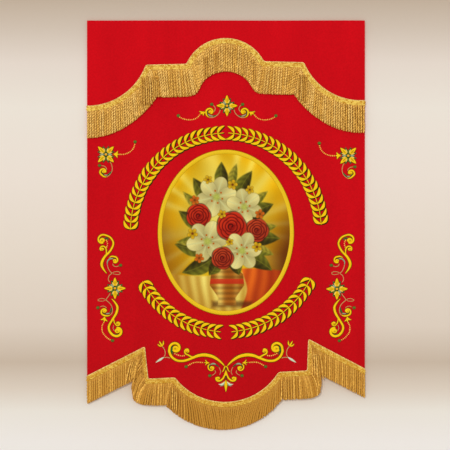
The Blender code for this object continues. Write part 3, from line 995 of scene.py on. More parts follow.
def cord_tree():
    """Twisted cords hung side by side from a line, each with its own sway, length and tone."""
    numbers = ("Spacing", "Thickness", "Lay", "Relief", "Sway", "Spread", "Lift", "Dark", "Pale")
    tree = Growth("fringe_cords", {**dict.fromkeys(numbers, "Float"), "Segments": "Int", "Seed": "Int"})
    start = tree.start
    roots = tree.stations(tree.times(start["Spacing"], tree.named("sparse")))
    place = tree.position()
    clump = tree.add("ShaderNodeTexNoise", {"Vector": place, "Scale": 30.0, "Detail": 1.0}).outputs["Fac"]
    drift = tree.plus(tree.times(tree.minus(clump, 0.5), 2.0), tree.random(-0.5, 0.5))
    arch = tree.named("arch")
    jitter = tree.times(tree.random(*CORD_DEPTHS, 1.0), tree.times_plus(arch, 3.0, 1.0))
    tone = tree.plus(tree.random(start["Dark"], start["Pale"], 2.0), tree.named("pale"))
    length = tree.random(*CORD_LENGTHS, 3.0)
    tone = tree.times_plus(tree.random(*SWUNG_TONES, 4.0), arch, tone)
    reach = tree.minus(1.0, tree.times(tree.random(0.0, start["Spread"], 5.0), tree.named("steep")))
    for label, value, kind in (
        ("root", place, "FLOAT_VECTOR"),
        ("sway", tree.times(drift, start["Sway"]), "FLOAT"),
        ("lift", tree.plus(start["Lift"], jitter), "FLOAT"),
        ("tone", tone, "FLOAT"),
        ("share", length, "FLOAT"),
        ("reach", reach, "FLOAT"),
    ):
        roots = tree.keep(roots, label, value, kind)
    line = tree.made("GeometryNodeCurvePrimitiveLine", {"Start": (0, 0, 0), "End": (0, 0, -1)})
    line = tree.made("GeometryNodeResampleCurve", {"Curve": line, "Count": start["Segments"]})
    cords = tree.copies(roots, line)
    t = tree.add("GeometryNodeSplineParameter").outputs["Factor"]
    early = tree.minus(1.0, tree.number("POWER", tree.minus(1.0, t), 2.8))
    aside = tree.times_plus(tree.minus(early, t), arch, t)
    hang = tree.split(tree.named("hang", "FLOAT_VECTOR"))
    tone = tree.named("tone")
    swing = tree.times(tree.named("sway"), tree.number("POWER", t, 1.4))
    ripple = tree.number("SINE", tree.times_plus(tone, 40.0, tree.times(t, 11.0)))
    swing = tree.times_plus(tree.times(ripple, t), 0.0006, swing)
    across = tree.times_plus(tree.times(hang[0], tree.named("reach")), aside, swing)
    down = tree.times(tree.times(hang[2], tree.named("share")), t)
    out = tree.number("MINIMUM", tree.times(t, 5.0), 1.0)
    depth = tree.times(tree.plus(tree.named("forward"), tree.named("lift")), out)
    spot = tree.joined(across, tree.times(depth, -1.0), down)
    cords = tree.moved(cords, Position=tree.vector("ADD", tree.named("root", "FLOAT_VECTOR"), spot))
    end = tree.minus(1.0, tree.number("POWER", t, 30.0))
    taper = tree.times_plus(end, 1.0 - TIP_WIDTH, TIP_WIDTH)
    thinner = tree.times_plus(tree.named("steep"), -STEEP_THINNING, 1.0)
    cords = tree.keep(cords, "width", tree.times(taper, thinner))
    return tree.finish(twisted(tree, cords, tree.named("width"), tree.times(tone, 17.0), tone))


def stitch_tree():
    """Small padded stitches along a line, turned by the line's own slant, each with its own tone."""
    tree = Growth("stitch_rows", {
        "Spacing": "Float", "Stitch Size": "Vector", "Dark": "Float", "Pale": "Float", "Seed": "Int"})
    start = tree.start
    tone = tree.random(start["Dark"], start["Pale"], 5.0)
    places = tree.keep(tree.stations(start["Spacing"]), "tone", tone)
    slant = tree.made("FunctionNodeAxisAngleToRotation", {"Axis": (0, 1, 0), "Angle": tree.named("slant")})
    inputs = {"Rotation": tree.along_line(), "Rotate By": slant}
    turned = tree.made("FunctionNodeRotateRotation", inputs, rotation_space="LOCAL")
    size = tree.scaled(start["Stitch Size"], tree.random(0.85, 1.15))
    stitches = tree.copies(places, tree.ball(6, 4), Rotation=turned, Scale=size)
    return tree.finish(tree.keep(stitches, "cord", tree.joined(0.0, 0.0, tree.named("tone")), "FLOAT_VECTOR"))


def piping_tree():
    """A twisted cord laid along a line."""
    tree = Growth("edge_cord", {"Thickness": "Float", "Lay": "Float", "Relief": "Float"})
    return tree.finish(twisted(tree, tree.stations(0.0016), 1.0, 0.0, tree.named("shade")))


def bead_tree():
    """Flattened beads of thread along a line."""
    tree = Growth("bead_rows", {"Spacing": "Float", "Bead Size": "Vector", "Seed": "Int"})
    ball = tree.keep(tree.ball(10, 6), "stitch", tree.scaled(tree.position(), 0.005), "FLOAT_VECTOR")
    size = tree.scaled(tree.start["Bead Size"], tree.random(0.85, 1.1))
    beads = tree.copies(tree.stations(tree.start["Spacing"]), ball, Rotation=tree.along_line(), Scale=size)
    return tree.finish(tree.dyed(beads, THREADS["peach"][1]))


def garland_tree():
    """Leaf sprigs along arcs, each over a darker copy set a little down and to the right."""
    tree = Growth("leaf_garland", {
        "Spacing": "Float", "Sprig": "Object", "Shade Offset": "Vector", "Seed": "Int"})
    start = tree.start
    sprig = tree.add("GeometryNodeObjectInfo", {"Object": start["Sprig"]}).outputs["Geometry"]
    swell = tree.joined(*[tree.random(0.96, 1.05)] * 3)
    leaves = tree.copies(tree.stations(start["Spacing"]), sprig, Rotation=tree.along_line(), Scale=swell)
    shade = tree.dyed(tree.moved(leaves, Offset=start["Shade Offset"]), (62, 48, 14))
    both = tree.add("GeometryNodeJoinGeometry")
    for part in (leaves, shade):
        tree.tree.links.new(part, both.inputs[0])
    return tree.finish(both.outputs[0])


def soft_edge(inside, width):
    """0 outside to 1 inside, over a width either side of a shape's line."""
    return np.clip(0.5 + inside / (2 * width), 0.0, 1.0)[:, None]


def paint(under, over, cover):
    return np.asarray(under, float) * (1 - cover) + np.asarray(over, float) * cover


def around(x, z, centre):
    """How far each place is from a centre, and in which direction."""
    return np.hypot(x - centre[0], z - centre[1]), np.arctan2(z - centre[1], x - centre[0])


def paint_leaf(colours, x, z, base, degrees, length, width, dark, light):
    """A pointed leaf with a pale half, a dark half and a thin rib."""
    turn = math.radians(degrees)
    dx, dz = x - base[0], z - base[1]
    a = (dx * math.cos(turn) + dz * math.sin(turn)) / length
    b = (-dx * math.sin(turn) + dz * math.cos(turn)) / width
    b = b - 0.25 * np.sin(math.pi * np.clip(a, 0, 1))
    reach = np.sin(math.pi * np.clip(a, 0, 1) ** 0.8) ** 0.9
    inside = np.minimum((reach - np.abs(b)) * width * 0.5, np.minimum(a, 1 - a) * length)
    body = paint(dark, light, np.clip(0.5 + b * 0.9, 0, 1)[:, None])
    veins = 0.9 + 0.1 * np.sin(a * 34 + np.abs(b) * 5)[:, None]
    colours = paint(colours, body * veins, soft_edge(inside, 1.2))
    rib = (0.05 - np.abs(b)) * width
    return paint(colours, np.asarray(light) * 1.08, soft_edge(np.minimum(rib, inside), 0.8) * 0.6)


def paint_lily(colours, x, z, centre, radius, degrees):
    """A white lily seen from the front: six pointed petals over a green throat."""
    far, turn = around(x, z, centre)
    turn = turn - math.radians(degrees)
    for shift, tint in ((math.pi / 3, 0.90), (0.0, 1.0)):
        wave = np.abs(np.cos(1.5 * (turn + shift)))
        inside = radius * (0.16 + 0.84 * wave**1.3) - far
        rib = np.abs(np.sin(1.5 * (turn + shift)))
        share = far / radius
        tone = (0.80 + 0.20 * np.clip(share * 1.3, 0, 1)) * (1.0 - 0.20 * rib**0.6) * tint
        body = np.stack([tone * 252, tone * 236, tone * 148], axis=1)
        colours = paint(colours, (150, 130, 70), soft_edge(inside + 2.2, 1.6) * 0.55)
        colours = paint(colours, body, soft_edge(inside, 1.2))
        vein = (0.055 - rib * share) * radius * 0.5
        colours = paint(colours, (205, 205, 140), soft_edge(np.minimum(vein, inside), 0.8) * 0.6)
    colours = paint(colours, (170, 180, 70), soft_edge(radius * 0.15 - far, radius * 0.07))
    dx, dz = x - centre[0], z - centre[1]
    for k in range(6):
        spot = math.radians(degrees + 60 * k + 30)
        across, up = math.cos(spot), math.sin(spot)
        line, along = np.abs(dx * up - dz * across), dx * across + dz * up
        stalk = np.minimum(1.1 - line, np.minimum(along, radius * 0.30 - along))
        colours = paint(colours, (190, 190, 90), soft_edge(stalk, 0.7) * 0.9)
        tip = (centre[0] + radius * 0.30 * across, centre[1] + radius * 0.30 * up)
        colours = paint(colours, (190, 95, 15), soft_edge(3.4 - around(x, z, tip)[0], 0.8))
    return colours


def paint_rose(colours, x, z, centre, radius, dark, light):
    """A full rose: rings of overlapping petals round a tight heart."""
    far, turn = around(x, z, centre)
    shadow = radius * (1.0 + 0.03 * np.cos(5 * turn)) + 1.5 - far
    colours = paint(colours, (70, 30, 18), soft_edge(shadow, 1.4) * 0.7)
    dark = np.asarray(dark, float)
    rings = ((1.0, 5, 0.2), (0.78, 5, 0.9), (0.56, 4, 0.1), (0.36, 3, 0.8))
    for ring, (share, petals, shift) in enumerate(rings):
        lobes = np.abs(np.cos(petals / 2 * (turn + shift)))
        edge = radius * share * (0.86 + 0.14 * lobes**0.5)
        inside = edge - far
        rim = np.clip(far / np.maximum(edge, 1.0), 0, 1) ** 3
        side = 0.5 + 0.5 * np.cos(turn - 2.1)
        tone = np.clip(0.12 + 0.55 * rim + 0.28 * side - 0.30 * (1 - lobes) ** 2, 0, 1)[:, None]
        colours = paint(colours, paint(dark, light, tone), soft_edge(inside, 1.2))
        if ring:
            gap = 2.0 - np.abs(inside + 2.2)
            colours = paint(colours, dark * 0.7, soft_edge(gap, 1.0) * 0.7)
    swirl = np.sin(far / radius * 22 - turn)
    heart = soft_edge(radius * 0.26 - far, 1.5) * np.clip(swirl, 0, 1)[:, None]
    return paint(colours, dark * 0.6, heart)


def paint_blossom(colours, x, z, centre, radius, body):
    """A small five-petalled blossom."""
    far, turn = around(x, z, centre)
    turn = turn + centre[0] * 0.05
    lobes = np.abs(np.cos(2.5 * turn))
    inside = radius * (0.55 + 0.45 * lobes**0.7) - far
    tone = (0.72 + 0.28 * lobes * np.clip(far / radius, 0, 1))[:, None]
    colours = paint(colours, (110, 80, 20), soft_edge(inside + 1.6, 1.2) * 0.6)
    colours = paint(colours, np.asarray(body, float) * tone, soft_edge(inside, 1.0))
    return paint(colours, (120, 60, 14), soft_edge(radius * 0.24 - far, 1.0))


# The painted flowers in the order of painting, in millimetres from the picture's centre
DEEP, MID, OLIVE = (62, 54, 14), (118, 116, 30), (176, 160, 50)
RED, CRIMSON = ((128, 14, 10), (226, 60, 26)), ((120, 24, 14), (214, 78, 36))
YELLOW, FLAME = (236, 184, 24), (226, 110, 24)
BROAD_LEAVES = (
    ((-40, -90), 205, 130, 30), ((-60, -60), 172, 125, 28), ((-70, 20), 150, 115, 26),
    ((-50, 110), 128, 110, 25), ((-5, 150), 96, 105, 25), ((40, 120), 62, 115, 26),
    ((80, 50), 30, 105, 27), ((80, -30), 4, 115, 28), ((60, -80), -28, 120, 29),
    ((20, -100), -62, 60, 22), ((-30, -100), 240, 62, 22),
)
NARROW_LEAVES = (
    ((-90, -20), 190, 90, 17), ((-80, 80), 138, 100, 16), ((20, 160), 78, 90, 16), ((90, 90), 44, 84, 16),
    ((100, 0), 16, 88, 17), ((90, -60), -14, 84, 18),
)
BLOOMS = (
    (paint_lily, (-34, 128), 74, 12), (paint_lily, (66, 92), 66, 40), (paint_rose, (-98, 60), 44, *RED),
    (paint_rose, (112, 8), 42, *CRIMSON), (paint_lily, (-66, -32), 76, 70), (paint_rose, (20, 22), 54, *RED),
    (paint_lily, (58, -66), 70, 4), (paint_rose, (-12, -92), 40, *CRIMSON),
)
BLOSSOMS = (
    ((-120, -4), 19, YELLOW), ((-112, 116), 17, FLAME), ((24, 172), 18, YELLOW), ((122, 66), 17, FLAME),
    ((-14, 66), 15, YELLOW), ((112, -52), 18, YELLOW), ((-96, -92), 17, FLAME), ((86, 154), 15, YELLOW),
    ((-64, 190), 15, YELLOW), ((14, -34), 13, YELLOW),
)


def picture_colours(x, z):
    """The oval's picture at places in millimetres from its centre: a vase of flowers in warm light."""
    far = np.hypot(x / 245, (z - 20) / 298)
    turn = np.arctan2(z - 20, x)
    colours = paint((222, 160, 4), (255, 218, 30), np.clip(1.15 - far, 0, 1)[:, None])
    rays = 0.5 + 0.5 * np.sin(turn * 18 + 2.0 * np.sin(turn * 5))
    colours = paint(colours, (255, 238, 120), (rays**2 * np.clip(far * 1.4 - 0.2, 0, 1) * 0.55)[:, None])
    cloud = np.sin(x / 31 + 1.7 * np.sin(z / 47)) * np.sin(z / 39 + 1.3 * np.sin(x / 53))
    colours = colours * (1 + 0.07 * cloud)[:, None]
    heart = np.hypot(x / 150, (z - 70) / 170)
    colours = paint(colours, (226, 218, 130), np.clip(1.25 - heart, 0, 1)[:, None] ** 0.8 * 0.7)
    side = np.clip((np.abs(x) / 245 - 0.35) * 1.6, 0, 1) * np.clip((175 - z) / 250, 0, 1)
    side = side * (1.0 + 0.25 * np.clip(x / 200, -1, 1))
    colours = paint(colours, (104, 50, 8), np.clip(side, 0, 1)[:, None] * 0.95)

    table = -150 + 7 * np.sin(x / 60) - z
    folds = 0.55 + 0.45 * np.sin(x / 6.5 + 1.4 * np.sin(z / 43 + x / 80))
    light = (np.clip(1.45 - np.hypot(x, z + 130) / 175, 0, 1) * (0.50 + 0.50 * folds))[:, None]
    colours = paint(colours, paint((160, 98, 10), (255, 236, 120), light), soft_edge(table, 3.0))
    drape = soft_edge(np.minimum(table + 14, x - 66 + 10 * np.sin(z / 26)), 3.0)
    colours = paint(colours, paint((140, 30, 8), (246, 116, 30), light), drape)

    vase = np.interp(z, (-262, -236, -190, -150, -128, -112), (34, 30, 62, 58, 34, 42))
    inside = np.minimum(vase - np.abs(x - 4), np.minimum(z + 262, -112 - z))
    shadow = np.minimum(72 - np.abs(x - 22), 10 - np.abs(z + 258))
    colours = paint(colours, (70, 36, 12), soft_edge(shadow, 6.0) * 0.6)
    shine = np.exp(-(((x + 22) / 15) ** 2)) * 0.8 + np.exp(-(((x - 38) / 11) ** 2)) * 0.3
    body = paint((168, 96, 22), (255, 222, 110), shine[:, None])
    bands = 0.90 + 0.10 * np.sin(z / 3.1)
    colours = paint(colours, body * bands[:, None], soft_edge(inside, 1.5))
    colours = paint(colours, (206, 44, 22), soft_edge(np.minimum(inside, 9 - np.abs(z + 176)), 1.0) * 0.8)

    for leaves, dark, light in ((BROAD_LEAVES, DEEP, MID), (NARROW_LEAVES, MID, OLIVE)):
        for leaf in leaves:
            colours = paint_leaf(colours, x, z, *leaf, dark, light)
    for bloom, *values in BLOOMS:
        colours = bloom(colours, x, z, *values)
    for blossom in BLOSSOMS:
        colours = paint_blossom(colours, x, z, *blossom)
    return np.clip(colours, 0, 255)


def length_setting(name, default, description):
    return FloatProperty(name=name, description=description, default=default, unit="LENGTH")


def colour_setting(name, default, description):
    """A colour whose default is given as red, green and blue from 0 to 255."""
    value = colour_value(*default)
    return FloatVectorProperty(name=name, description=description, default=value, subtype="COLOR")


def share_setting(name, default, description):
    return FloatProperty(name=name, description=description, default=default, min=0.0, max=1.0)


def number_setting(name, default, description):
    return FloatProperty(name=name, description=description, default=default)


class ClothSettings(bpy.types.PropertyGroup):
    thickness: length_setting("Thickness", 0.0014, "Thickness of the hemmed cloth")
    cell: length_setting("Cell", 0.010, "Size of the cloth's mesh cells")
    weave_pitch: length_setting("Weave Pitch", 0.0011, "Distance between the threads of the weave")
    cloth_top: colour_setting("Cloth at the Top", (206, 10, 22), "Cloth colour at the top edge")
    cloth_hem: colour_setting("Cloth at the Hem", (186, 12, 20), "Cloth colour at the hem")
    hem_width: length_setting("Hem Width", 0.016, "Width of the hems turned over at the back")


class FringeSettings(bpy.types.PropertyGroup):
    spacing: length_setting("Cord Spacing", 0.0087, "Distance between neighbouring cords of one row")
    thickness: length_setting("Cord Thickness", 0.0093, "Width of a hanging cord")
    upper_lay: length_setting("Upper Lay", 0.0195, "Length of one full turn of the upper cords")
    lower_lay: length_setting("Lower Lay", 0.023, "Length of one full turn of the lower cords")
    # The relief settings set how deep the painted shade between a cord's plies is
    upper_relief: share_setting("Upper Relief", 1.0, "How deep the twist of the upper cords looks")
    lower_relief: share_setting("Lower Relief", 0.5, "How deep the twist of the lower cords looks")
    fleck: number_setting("Fleck", 185.0, "Fineness of the glints on the cords")
    segments: IntProperty(name="Cord Segments", description="Points along each cord", default=70, min=4)
    sway: length_setting("Sway", 0.0018, "How far neighbouring cords drift together")
    row_depth: length_setting("Row Depth", 0.0026, "Distance of the front row before the back row")
    cord_dark: colour_setting("Cord Shade", (188, 133, 46), "Colour of the darkest cords")
    cord_body: colour_setting("Cord Body", (234, 181, 82), "Colour of most cords")
    cord_light: colour_setting("Cord Light", (250, 210, 124), "Colour of the lighter cords")
    # The palest tone is a painted highlight on the cord along a heading's top edge
    cord_pale: colour_setting("Cord Pale", (254, 232, 156), "Colour of the cord along the top of a heading")
    heading_dark: colour_setting("Heading Shade", (204, 144, 30), "Darker loops of the heading")
    heading_light: colour_setting("Heading Light", (255, 222, 106), "Paler loops of the heading")


class GarlandSettings(bpy.types.PropertyGroup):
    across: length_setting("Across", 0.344, "Half the garland oval's width")
    tall: length_setting("Tall", 0.357, "Half the garland oval's height")
    leaf_length: length_setting("Leaf Length", 0.038, "Length of a leaf")
    leaf_width: length_setting("Leaf Width", 0.0130, "Width of a leaf")
    spacing: length_setting("Spacing", 0.024, "Distance between pairs of leaves")


class PictureSettings(bpy.types.PropertyGroup):
    cell: length_setting("Cell", 0.0022, "Size of the picture's mesh cells")
    braid_height: length_setting("Braid Height", 0.0022, "How far the padded braid stands up")
    bead_spacing: length_setting("Bead Spacing", 0.0061, "Distance between embroidered beads")


class StageSettings(bpy.types.PropertyGroup):
    lens: number_setting("Lens", 85.0, "Focal length in millimetres")
    frame_width: length_setting("Frame Width", 1.62, "Width seen at the flag")
    wall_gap: length_setting("Wall Gap", 0.009, "Distance of the wall behind the flag")
    key_strength: number_setting("Key Strength", 1.15, "Strength of the sun-like key")
    fill_strength: number_setting("Fill Strength", 0.66, "Strength of the even light")


def strip_mesh(name, lines):
    """A closed strip whose long edges are the lines, with a cap at each end."""
    count, rows = len(lines[0]), range(len(lines))
    faces = []
    for row in rows:
        here, there = row * count, (row + 1) % len(lines) * count
        for k in range(count - 1):
            faces.append((here + k, there + k, there + k + 1, here + k + 1))
    faces.append(tuple(row * count for row in reversed(rows)))
    faces.append(tuple(row * count + count - 1 for row in rows))
    return new_mesh(name, [place for line in lines for place in line], faces)


def heading_line(runs, across):
    """A line along the heading, the distance across below its top edge."""
    return line_places(runs, across, LINE_STEP, rounding=2)


def heading_mesh(name, runs):
    """The fringe's heading as a closed woven strip with a low crown."""
    back = CLOTH_FRONT + HEADING_LIFT
    lines = []
    for across, high in HEADING_PROFILE:
        depth = -(back + HEADING_THICKNESS * high)
        lines.append([(x, depth, z) for x, z in heading_line(runs, HEADING_WIDTH * across)])
    return strip_mesh(name, lines)


def hanging_guide(name, runs, spacing, shift, bunches):
    """The lines that a row of cords hangs from, with the values that shape the cords at each place."""
    width = HEADING_WIDTH - HEADING_OVERLAP
    steep_width = width * STEEP_ROOT_SHARE
    offsets = corner_offsets(runs, width)
    inner = corner_offsets(runs, steep_width)
    tips, softness, lines, shapes = [], [], [], []
    for number, run in enumerate(runs):
        section = run.section
        steep = section.arch > 0
        high = max(run.start.y, run.end.y)
        length = run.length()
        before = runs[number - 1].section if number else section
        after = runs[number + 1].section if run is not runs[-1] else section
        beside = before.arch > 0 or after.arch > 0
        sparse = BESIDE_STEEP_SPACING if beside and length < SHORT_RUN else STEEP_SPACING if steep else 1.0
        last = length - spacing / 2 + (shift if run is not runs[-1] else 0.0)
        line = []
        for along in np.linspace(spacing / 2 + shift, last, max(4, round(length / 0.005)) + 1):
            t = along / length
            place = offset_point(run, t, width, offsets[number], offsets[number + 1])
            near, far = ((1 - t), t) if steep or beside else ((1 - t) ** 3, t**3)
            lean = section.lean_from * near + section.lean_to * far
            lock = section.lock + HEADING_OVERLAP + section.taper * (0.5 - t)
            tips.append((place.x + lean, place.y - math.sqrt(lock**2 - lean**2)))
            if steep:
                place = offset_point(run, t, steep_width, inner[number], inner[number + 1])
            line.append((place.x, -ROOT_DEPTH, place.y))
            from_start = max(0.0, 1 - along / NEIGHBOUR_REACH)
            from_end = max(0.0, 1 - (length - along) / NEIGHBOUR_REACH)
            softness.append(max(before.soft * from_start if number else 0.0, section.soft * from_end))
            near_steep = max(before.arch * from_start, after.arch * from_end)
            shapes.append({
                "forward": section.forward * (1.0 + 8.0 * (place.y - high + NEIGHBOUR_REACH)),
                "arch": section.arch if steep else max(near_steep, TURNED_ARCH if section.turn else 0.0),
                "steep": steep,
                "sparse": sparse,
                "pale": section.tone,
            })
        lines.append(line)
    tips, softness = np.array(tips), np.array(softness)[1:-1, None]
    for _ in range(TIP_ROUNDS):
        tips[1:-1] += softness * (tips[:-2] / 2 + tips[2:] / 2 - tips[1:-1]) * 0.9
    first = 0
    for run, line in zip(runs, lines):
        part = slice(first, first + len(line))
        if run.section.turn:
            x, z = tips[part].T
            aside = x + run.section.turn * np.sin(np.linspace(0, math.tau, len(line)))
            tips[part] = np.stack([aside, np.interp(aside, x, z)], axis=1)
        first += len(line)
    roots = np.array([(x, z) for line in lines for x, _, z in line])
    hang = [(x, 0.0, z) for x, z in tips - roots]
    for bunch in bunches:
        line = []
        for t in np.linspace(0, 1, 6):
            x, z = (from_ * (1 - t) + to * t for from_, to in zip(bunch.start, bunch.end))
            lean = bunch.lean_from * (1 - t) + bunch.lean_to * t
            line.append((x, -ROOT_DEPTH, z))
            hang.append((lean, 0.0, -math.sqrt(bunch.lock**2 - lean**2)))
            shapes.append({**BUNCH_SHAPE, "pale": bunch.tone})
        lines.append(line)
    values = {key: [float(shape[key]) for shape in shapes] for key in shapes[0]}
    return guide_mesh(name, lines, hang=hang, **values)


def make_fringe(context, word, start, sections, bunches, seed, node, cord_tones, stitch_tones):
    """A whole fringe: heading strip, its rows of stitches, edge cords and two rows of hanging cords."""
    settings = context.scene.flag_fringe
    cord = shared_finish("twisted_gold_cord", gold_cord_finish, settings)
    woven = shared_finish("gold_heading", heading_finish, settings)
    runs = runs_of(start, sections)
    heading = word + "_heading"
    add_piece(heading, heading_mesh(heading, runs), woven, node)

    rows, slants = [], []
    for across, slant in STITCH_ROWS:
        rows.append(before_cloth(heading_line(runs, across), STITCH_DEPTH))
        slants += [slant] * len(rows[-1])
    guide = guide_mesh(word + "_rows", rows, slant=slants)
    grow(
        stitch_tree(), heading + "_stitches", guide, woven, "gold_cord", spacing=STITCH_SPACING,
        stitch_size=STITCH_SIZE, seed=seed, dark=stitch_tones[0], pale=stitch_tones[1])

    top = before_cloth(heading_line(runs, EDGE_CORD_INSET), EDGE_CORD_DEPTHS[0])
    low = before_cloth(heading_line(runs, HEADING_WIDTH - EDGE_CORD_INSET), EDGE_CORD_DEPTHS[1])
    # The top edge cord is painted in the palest tone, a painted highlight along the heading's top edge; the
    # lower edge cord takes the fringe's darkest cord tone
    guide = guide_mesh(word + "_edge", [top, low], shade=[1.0] * len(top) + [cord_tones[0]] * len(low))
    grow(
        piping_tree(), word + "_edge_cords", guide, cord, "gold_cord", thickness=EDGE_CORD_WIDTH,
        lay=EDGE_CORD_LAY, relief=0.8)

    # The back row's tones are lowered by BACK_ROW_SHADE: painted shade behind the front row
    for name, lift, shift, darker, spread, loose in (
        ("_back_cords", BACK_ROW_LIFT, settings.spacing / 2, BACK_ROW_SHADE, 0.05, ()),
        ("_front_cords", BACK_ROW_LIFT + settings.row_depth, 0.0, 0.0, 0.35, bunches),
    ):
        guide = hanging_guide(word + "_cord_line", runs, settings.spacing, shift, loose)
        grow(
            cord_tree(), word + name, guide, cord, "gold_cord", spacing=settings.spacing,
            thickness=settings.thickness, segments=settings.segments, lay=getattr(settings, word + "_lay"),
            relief=getattr(settings, word + "_relief"), sway=settings.sway, spread=spread, lift=lift,
            dark=cord_tones[0] - darker, pale=cord_tones[1] - darker, seed=seed)
        seed += 20


class FLAG_OT_cloth(bpy.types.Operator):
    """Makes the red cloth, cut along the lower fringe's line"""

    bl_idname = "flag.cloth"
    bl_label = "Cloth"

    def execute(self, context):
        settings = context.scene.flag_cloth
        runs = runs_of(LOWER_START, LOWER_SECTIONS)
        hem = line_places(runs, HEM_UNDER_HEADING, 0.008)
        if np.any(np.diff(hem[:, 0]) <= 0):
            raise RuntimeError("the hem's line turns back on itself")
        xs = np.linspace(-HALF_WIDTH, HALF_WIDTH, round(2 * HALF_WIDTH / settings.cell) + 1)
        near = [hem[np.argmin(np.abs(hem[:, 0] - run.end.x)), 0] for run in runs[:-1]]
        xs = np.unique(np.concatenate([xs, near]).round(5))
        lowest = np.interp(xs, hem[:, 0], hem[:, 1])
        rows = round(MESH_HEIGHT / settings.cell)
        half = settings.thickness / 2
        points = []
        for side in (-half, half):
            for share in np.linspace(0, 1, rows + 1):
                points += [(x, side, share * low) for x, low in zip(xs, lowest)]
        across, layer = len(xs), len(xs) * (rows + 1)
        faces = []
        for r in range(rows):
            for c in range(across - 1):
                a = r * across + c
                quad = (a, a + across, a + across + 1, a + 1)
                faces.append(quad)
                faces.append(tuple(layer + v for v in reversed(quad)))
        top = list(range(across))
        right = [r * across + across - 1 for r in range(rows + 1)]
        bottom = [rows * across + c for c in reversed(range(across))]
        left = [r * across for r in reversed(range(rows + 1))]
        for line in (top, right, bottom, left):
            faces += [(a, b, layer + b, layer + a) for a, b in zip(line, line[1:])]
        mesh = new_mesh("red_cloth_panel", points, faces)
        red = shared_finish("woven_red_cloth", red_cloth_finish, settings)
        add_piece("red_cloth_panel", mesh, red, "panel")
        mesh.set_sharp_from_angle(angle=math.radians(50))
        self.back_hem(settings, hem, red)
        context.scene["flag_cut_length"] = float(-lowest.min())
        context.scene["flag_cut_area"] = float(np.sum(np.diff(xs) * -(lowest[1:] + lowest[:-1]) / 2))
        return {"FINISHED"}

    def hem_line(self, settings, hem, inset, depth):
        """A line at the back, an inset within the cloth's left, top and right edges."""
        side = HALF_WIDTH - inset
        ends = np.interp((-side, side), hem[:, 0], hem[:, 1])
        corners = ((-side, ends[0]), (-side, -inset), (side, -inset), (side, ends[1]))
        lengths = (-hem[0, 1], 2 * HALF_WIDTH, -hem[-1, 1])
        places = []
        for (x, z), (x_end, z_end), length in zip(corners, corners[1:], lengths):
            for share in np.linspace(0, 1, round(length / settings.cell))[bool(places):]:
                places.append((x + (x_end - x) * share, depth, z + (z_end - z) * share))
        return places

    def back_hem(self, settings, hem, finish):
        """The edges turned over to the back, held by a row of stitches."""
        wide, fold = settings.hem_width, settings.thickness * 0.6
        back = settings.thickness / 2 - HEM_SUNK
        top = back + fold
        rows = ((wide, back), (wide - 0.0006, top), (0.0008, top), (0.0, back + fold * 0.7), (0.0, back))
        lines = [self.hem_line(settings, hem, inset, depth) for inset, depth in rows]
        add_piece("back_hem", strip_mesh("back_hem", lines), finish)
        seam = self.hem_line(settings, hem, wide - SEAM_INSET, top + HEM_SUNK)
        guide = guide_mesh("back_hem_line", [seam], slant=[0.0] * len(seam))
        grow(
            stitch_tree(), "back_hem_stitches", guide, finish, "red_cloth", spacing=SEAM_SPACING,
            stitch_size=SEAM_STITCH, seed=5, dark=0.3, pale=0.6)


class FLAG_OT_upper_fringe(bpy.types.Operator):
    """Makes the upper fringe"""

    bl_idname = "flag.upper_fringe"
    bl_label = "Upper Fringe"

    def execute(self, context):
        make_fringe(
            context, "upper", UPPER_START, UPPER_SECTIONS, UPPER_BUNCHES, 3, "upper_fringe",
            cord_tones=(0.42, 0.72), stitch_tones=(0.0, 1.0))
        return {"FINISHED"}


class FLAG_OT_lower_fringe(bpy.types.Operator):
    """Makes the lower fringe along the hem"""

    bl_idname = "flag.lower_fringe"
    bl_label = "Lower Fringe"

    def execute(self, context):
        make_fringe(
            context, "lower", LOWER_START, LOWER_SECTIONS, LOWER_BUNCHES, 11, "lower_fringe",
            cord_tones=(0.05, 0.37), stitch_tones=(0.0, 0.62))
        return {"FINISHED"}


class FLAG_OT_picture(bpy.types.Operator):
    """Makes the oval picture cloth and its padded braid"""

    bl_idname = "flag.picture"
    bl_label = "Oval Picture"

    def execute(self, context):
        settings = context.scene.flag_picture
        wide, tall = (radius - BORDER_WIDTH * 0.4 for radius in OVAL_RADII)
        rings = round(tall / settings.cell)
        spokes = 4 * round(math.tau * wide / settings.cell / 4 / 1.4)
        places = [(0.0, 0.0)]
        for ring in range(1, rings + 1):
            for k in range(spokes):
                turn = math.tau * k / spokes
                places.append((wide * ring / rings * math.cos(turn), tall * ring / rings * math.sin(turn)))
        places = np.array(places)
        faces = [(0, 1 + (k + 1) % spokes, 1 + k) for k in range(spokes)]
        for ring in range(rings - 1):
            here, there = 1 + ring * spokes, 1 + (ring + 1) * spokes
            for k in range(spokes):
                n = (k + 1) % spokes
                faces.append((here + k, here + n, there + n, there + k))
        mesh = new_mesh("picture_cloth", before_cloth(places + OVAL_CENTRE, 0.0018), faces)
        shade = linear(picture_colours(places[:, 0] * 1000, places[:, 1] * 1000))
        add_attribute(mesh, "picture_colour", "FLOAT_COLOR", np.column_stack([shade, np.ones(len(shade))]))
        cloth = shared_finish("painted_picture_cloth", picture_finish)
        add_piece("picture_cloth", mesh, cloth, "medallion")

        braid = Threads(CLOTH_FRONT + 0.0012)
        count = 320
        turns = np.linspace(0, math.tau, count, endpoint=False)
        middle = [radius - BORDER_WIDTH / 2 for radius in OVAL_RADII]
        ring = np.stack([
            OVAL_CENTRE[0] + middle[0] * np.cos(turns),
            OVAL_CENTRE[1] + middle[1] * np.sin(turns),
            np.full(count, BORDER_WIDTH),
        ], axis=1)
        run = np.insert(np.cumsum(np.hypot(*np.diff(ring[:, :2], axis=0).T)), 0, 0.0)
        braid.band(ring, run, settings.braid_height, "braid", closed=True)
        yellow = shared_finish("padded_yellow_braid", border_finish)
        add_piece("picture_braid", braid.mesh("picture_braid"), yellow, "medallion_border")
        return {"FINISHED"}


